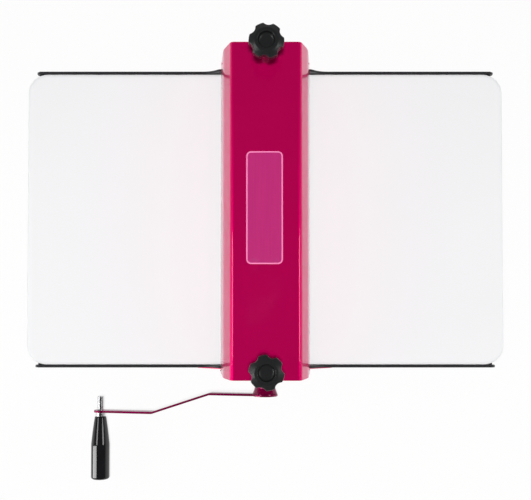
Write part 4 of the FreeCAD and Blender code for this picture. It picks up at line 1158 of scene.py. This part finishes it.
def ray_kinds(tree):
    """Outputs that are one on camera rays, and on rays in gloss or glass."""
    path = add_node(tree, "ShaderNodeLightPath").outputs
    gloss = combined(tree, "MAXIMUM", path["Is Glossy Ray"], path["Is Transmission Ray"])
    return path["Is Camera Ray"], gloss


def matt(tree, grey):
    """Output of a matt grey shader."""
    return add_node(tree, "ShaderNodeBsdfDiffuse", {"Color": (grey, grey, grey, 1)}).outputs[0]


def background(tree, strength):
    """Output of a white background shader."""
    return add_node(tree, "ShaderNodeBackground", {"Color": (1, 1, 1, 1), "Strength": strength}).outputs[0]


def make_floor():
    """Plain pale floor that the camera, gloss and glass see as white, with the soft shadow kept."""
    half = 40.0
    mesh = bpy.data.meshes.new("floor")
    mesh.from_pydata([(-half, -half, 0), (half, -half, 0), (half, half, 0), (-half, half, 0)], [],
                     [(0, 1, 2, 3)])
    material = bpy.data.materials.new("floor_paper")
    material.use_nodes = True
    tree = material.node_tree
    tree.nodes.remove(tree.nodes["Principled BSDF"])
    camera, gloss = ray_kinds(tree)
    glow = add_node(tree, "ShaderNodeEmission", {"Strength": 0.83}).outputs[0]
    white = add_node(tree, "ShaderNodeAddShader", {0: matt(tree, 0.16), 1: glow}).outputs[0]
    surface = mixed(tree, combined(tree, "MAXIMUM", camera, gloss), matt(tree, 0.7), white)
    tree.links.new(surface, tree.nodes["Material Output"].inputs["Surface"])
    mesh.materials.append(material)
    new_object("floor", mesh)


def make_world():
    """White for the camera; for glossy rays white at the horizon and dark overhead; even fill else."""
    world = bpy.data.worlds.new("studio")
    bpy.context.scene.world = world
    world.use_nodes = True
    tree = world.node_tree
    tree.nodes.clear()
    camera, gloss = ray_kinds(tree)
    direction = add_node(tree, "ShaderNodeTexCoord").outputs["Generated"]
    height = add_node(tree, "ShaderNodeSeparateXYZ", {"Vector": direction}).outputs["Z"]
    falling = remap(tree, height, 1.0, 0.05, 0.03, 0.4)
    seen, mirrored, even = (background(tree, strength) for strength in (1.0, falling, looks().stage.fill))
    surface = mixed(tree, camera, mixed(tree, gloss, even, mirrored), seen)
    tree.links.new(surface, add_node(tree, "ShaderNodeOutputWorld").inputs["Surface"])


def make_lamp(name, side, y_range, z_range, radiance, gloss):
    """Upright rectangular soft box beside the machine, which only lights or only shows in gloss.

    Its power is radiance times area times pi. The lamps for gloss stand 10 mm farther out,
    because of two lamps in one plane gloss shows only the first. They are dark to light that
    has met a matt surface, so that the housing throws no coloured streaks on the board.
    """
    wide = y_range[1] - y_range[0]
    tall = z_range[1] - z_range[0]
    lamp = bpy.data.lights.new(name, "AREA")
    lamp.shape = "RECTANGLE"
    lamp.size = wide
    lamp.size_y = tall
    lamp.energy = radiance * wide * tall * math.pi
    made = new_object(name, lamp)
    farther = 10 * MM if gloss else 0
    distance = looks().stage.lamp_distance + farther
    made.location = (side * distance, sum(y_range) / 2, sum(z_range) / 2)
    made.rotation_euler = (math.pi / 2, 0, side * math.pi / 2)
    made.visible_camera = False
    made.visible_diffuse = not gloss
    made.visible_glossy = gloss
    if gloss:
        lamp.use_nodes = True
        tree = lamp.node_tree
        depth = add_node(tree, "ShaderNodeLightPath").outputs["Diffuse Depth"]
        tree.links.new(combined(tree, "LESS_THAN", depth, 0.5), tree.nodes["Emission"].inputs["Strength"])


def make_side_lamps():
    """Broad side lamps that light, a near left one for the grip's stripe and two high for the bends."""
    stage = looks().stage
    light_y = (-0.6, 0.27)
    light_z = (stage.lamp_foot, stage.lamp_height)
    high_y = (-0.22, 0.165)
    high_z = (1.1, 2.0)
    make_lamp("left_light", -1, light_y, light_z, stage.side, False)
    make_lamp("right_light", 1, light_y, light_z, stage.right_side, False)
    make_lamp("grip_glow", -1, (-0.6, -0.38), (0, 1.3), stage.glow, True)
    make_lamp("left_glow", -1, high_y, high_z, stage.high_glow, True)
    make_lamp("right_glow", 1, high_y, high_z, stage.high_glow, True)


def make_overhead():
    """Round lamp above the camera, so that the machine hides most of its own shadows.

    Its power is the light wanted on the board times pi and the square of the distance.
    """
    stage = looks().stage
    board_z = box_of("cutting_plate")[1][2]
    lamp = bpy.data.lights.new("overhead", "AREA")
    lamp.shape = "DISK"
    lamp.size = stage.overhead_size
    lamp.energy = stage.overhead * math.pi * (stage.overhead_z - board_z) ** 2
    made = new_object("overhead", lamp)
    made.location = (stage.camera_x, HOUSING_MIDDLE_Y + stage.camera_y, stage.overhead_z)
    made.visible_camera = False
    made.visible_glossy = False


def make_camera():
    """Camera over the machine, at the photograph's viewing angle."""
    stage = looks().stage
    camera = bpy.data.cameras.new("camera")
    camera.sensor_width = 36.0
    camera.lens = stage.focal_pixels / IMAGE_WIDTH * camera.sensor_width
    camera.shift_x = -stage.centre_x / IMAGE_WIDTH
    camera.shift_y = stage.centre_y / IMAGE_WIDTH
    made = new_object("camera", camera)
    made.location = (stage.camera_x, HOUSING_MIDDLE_Y + stage.camera_y, stage.camera_z)
    made.rotation_euler = (stage.camera_tilt, 0, 0)
    bpy.context.scene.camera = made


# Operators

class MACHINE_OT_cover(bpy.types.Operator):
    """Make the formed cover"""
    bl_idname = "machine.cover"
    bl_label = "Cover"

    def execute(self, context):
        make_cover()
        return {"FINISHED"}


class MACHINE_OT_badge(bpy.types.Operator):
    """Make the bare badge"""
    bl_idname = "machine.badge"
    bl_label = "Badge"

    def execute(self, context):
        make_badge()
        return {"FINISHED"}


class MACHINE_OT_board(bpy.types.Operator):
    """Make the cutting board"""
    bl_idname = "machine.board"
    bl_label = "Cutting board"

    def execute(self, context):
        make_board()
        return {"FINISHED"}


class MACHINE_OT_knobs(bpy.types.Operator):
    """Make both star knobs and their threaded screws"""
    bl_idname = "machine.knobs"
    bl_label = "Star knobs and screws"

    def execute(self, context):
        make_knob("far_knob", looks().knob.far_turn)
        make_knob("near_knob", looks().knob.near_turn)
        make_pressure_screw("far_pressure_screw")
        make_pressure_screw("near_pressure_screw")
        return {"FINISHED"}


class MACHINE_OT_crank(bpy.types.Operator):
    """Make the crank's hub, stud and grip"""
    bl_idname = "machine.crank"
    bl_label = "Crank"

    def execute(self, context):
        make_hub()
        make_stud()
        make_grip()
        return {"FINISHED"}


class MACHINE_OT_rollers(bpy.types.Operator):
    """Make both rollers"""
    bl_idname = "machine.rollers"
    bl_label = "Rollers"

    def execute(self, context):
        make_rollers()
        return {"FINISHED"}


class MACHINE_OT_feet(bpy.types.Operator):
    """Make the rubber feet"""
    bl_idname = "machine.feet"
    bl_label = "Feet"

    def execute(self, context):
        make_feet()
        return {"FINISHED"}


class MACHINE_OT_screws(bpy.types.Operator):
    """Make the countersunk screws"""
    bl_idname = "machine.screws"
    bl_label = "Countersunk screws"

    def execute(self, context):
        make_flush_screws()
        return {"FINISHED"}


class MACHINE_OT_softened_parts(bpy.types.Operator):
    """Make the remaining parts from the packed ones, with rounded edges"""
    bl_idname = "machine.softened_parts"
    bl_label = "Remaining parts"

    def execute(self, context):
        make_softened_parts()
        return {"FINISHED"}


class MACHINE_OT_stage(bpy.types.Operator):
    """Make the floor, the lamps, the world and the camera"""
    bl_idname = "machine.stage"
    bl_label = "Stage"

    def execute(self, context):
        make_floor()
        make_world()
        make_side_lamps()
        make_overhead()
        make_camera()
        return {"FINISHED"}


OPERATORS = (MACHINE_OT_cover, MACHINE_OT_badge, MACHINE_OT_board, MACHINE_OT_knobs, MACHINE_OT_crank,
             MACHINE_OT_rollers, MACHINE_OT_feet, MACHINE_OT_screws, MACHINE_OT_softened_parts,
             MACHINE_OT_stage)


class MACHINE_PT_looks(bpy.types.Panel):
    """Lists the operators that build the machine"""
    bl_idname = "MACHINE_PT_looks"
    bl_label = "Die Machine"
    bl_space_type = "VIEW_3D"
    bl_region_type = "UI"
    bl_category = "Die Machine"

    def draw(self, context):
        column = self.layout.column()
        for operator in OPERATORS:
            column.operator(operator.bl_idname)


CLASSES = (FinishColours, CoverSizes, BoardSizes, KnobSizes, CrankSizes, RollerSizes, StageSettings,
           MachineLooks, *OPERATORS, MACHINE_PT_looks)


def register():
    """Registers every class and gives the scene its settings."""
    for entry in CLASSES:
        bpy.utils.register_class(entry)
    bpy.types.Scene.machine_looks = group("Machine looks", MachineLooks)


def unregister():
    """Takes back what register did."""
    del bpy.types.Scene.machine_looks
    for entry in reversed(CLASSES):
        bpy.utils.unregister_class(entry)


def main():
    """Registers the add-on and builds every piece and the stage."""
    register()
    bpy.context.scene.view_settings.view_transform = "Standard"
    bpy.ops.machine.cover()
    bpy.ops.machine.badge()
    bpy.ops.machine.board()
    bpy.ops.machine.knobs()
    bpy.ops.machine.crank()
    bpy.ops.machine.rollers()
    bpy.ops.machine.feet()
    bpy.ops.machine.screws()
    bpy.ops.machine.softened_parts()
    bpy.ops.machine.stage()


if __name__ == "__main__":
    main()
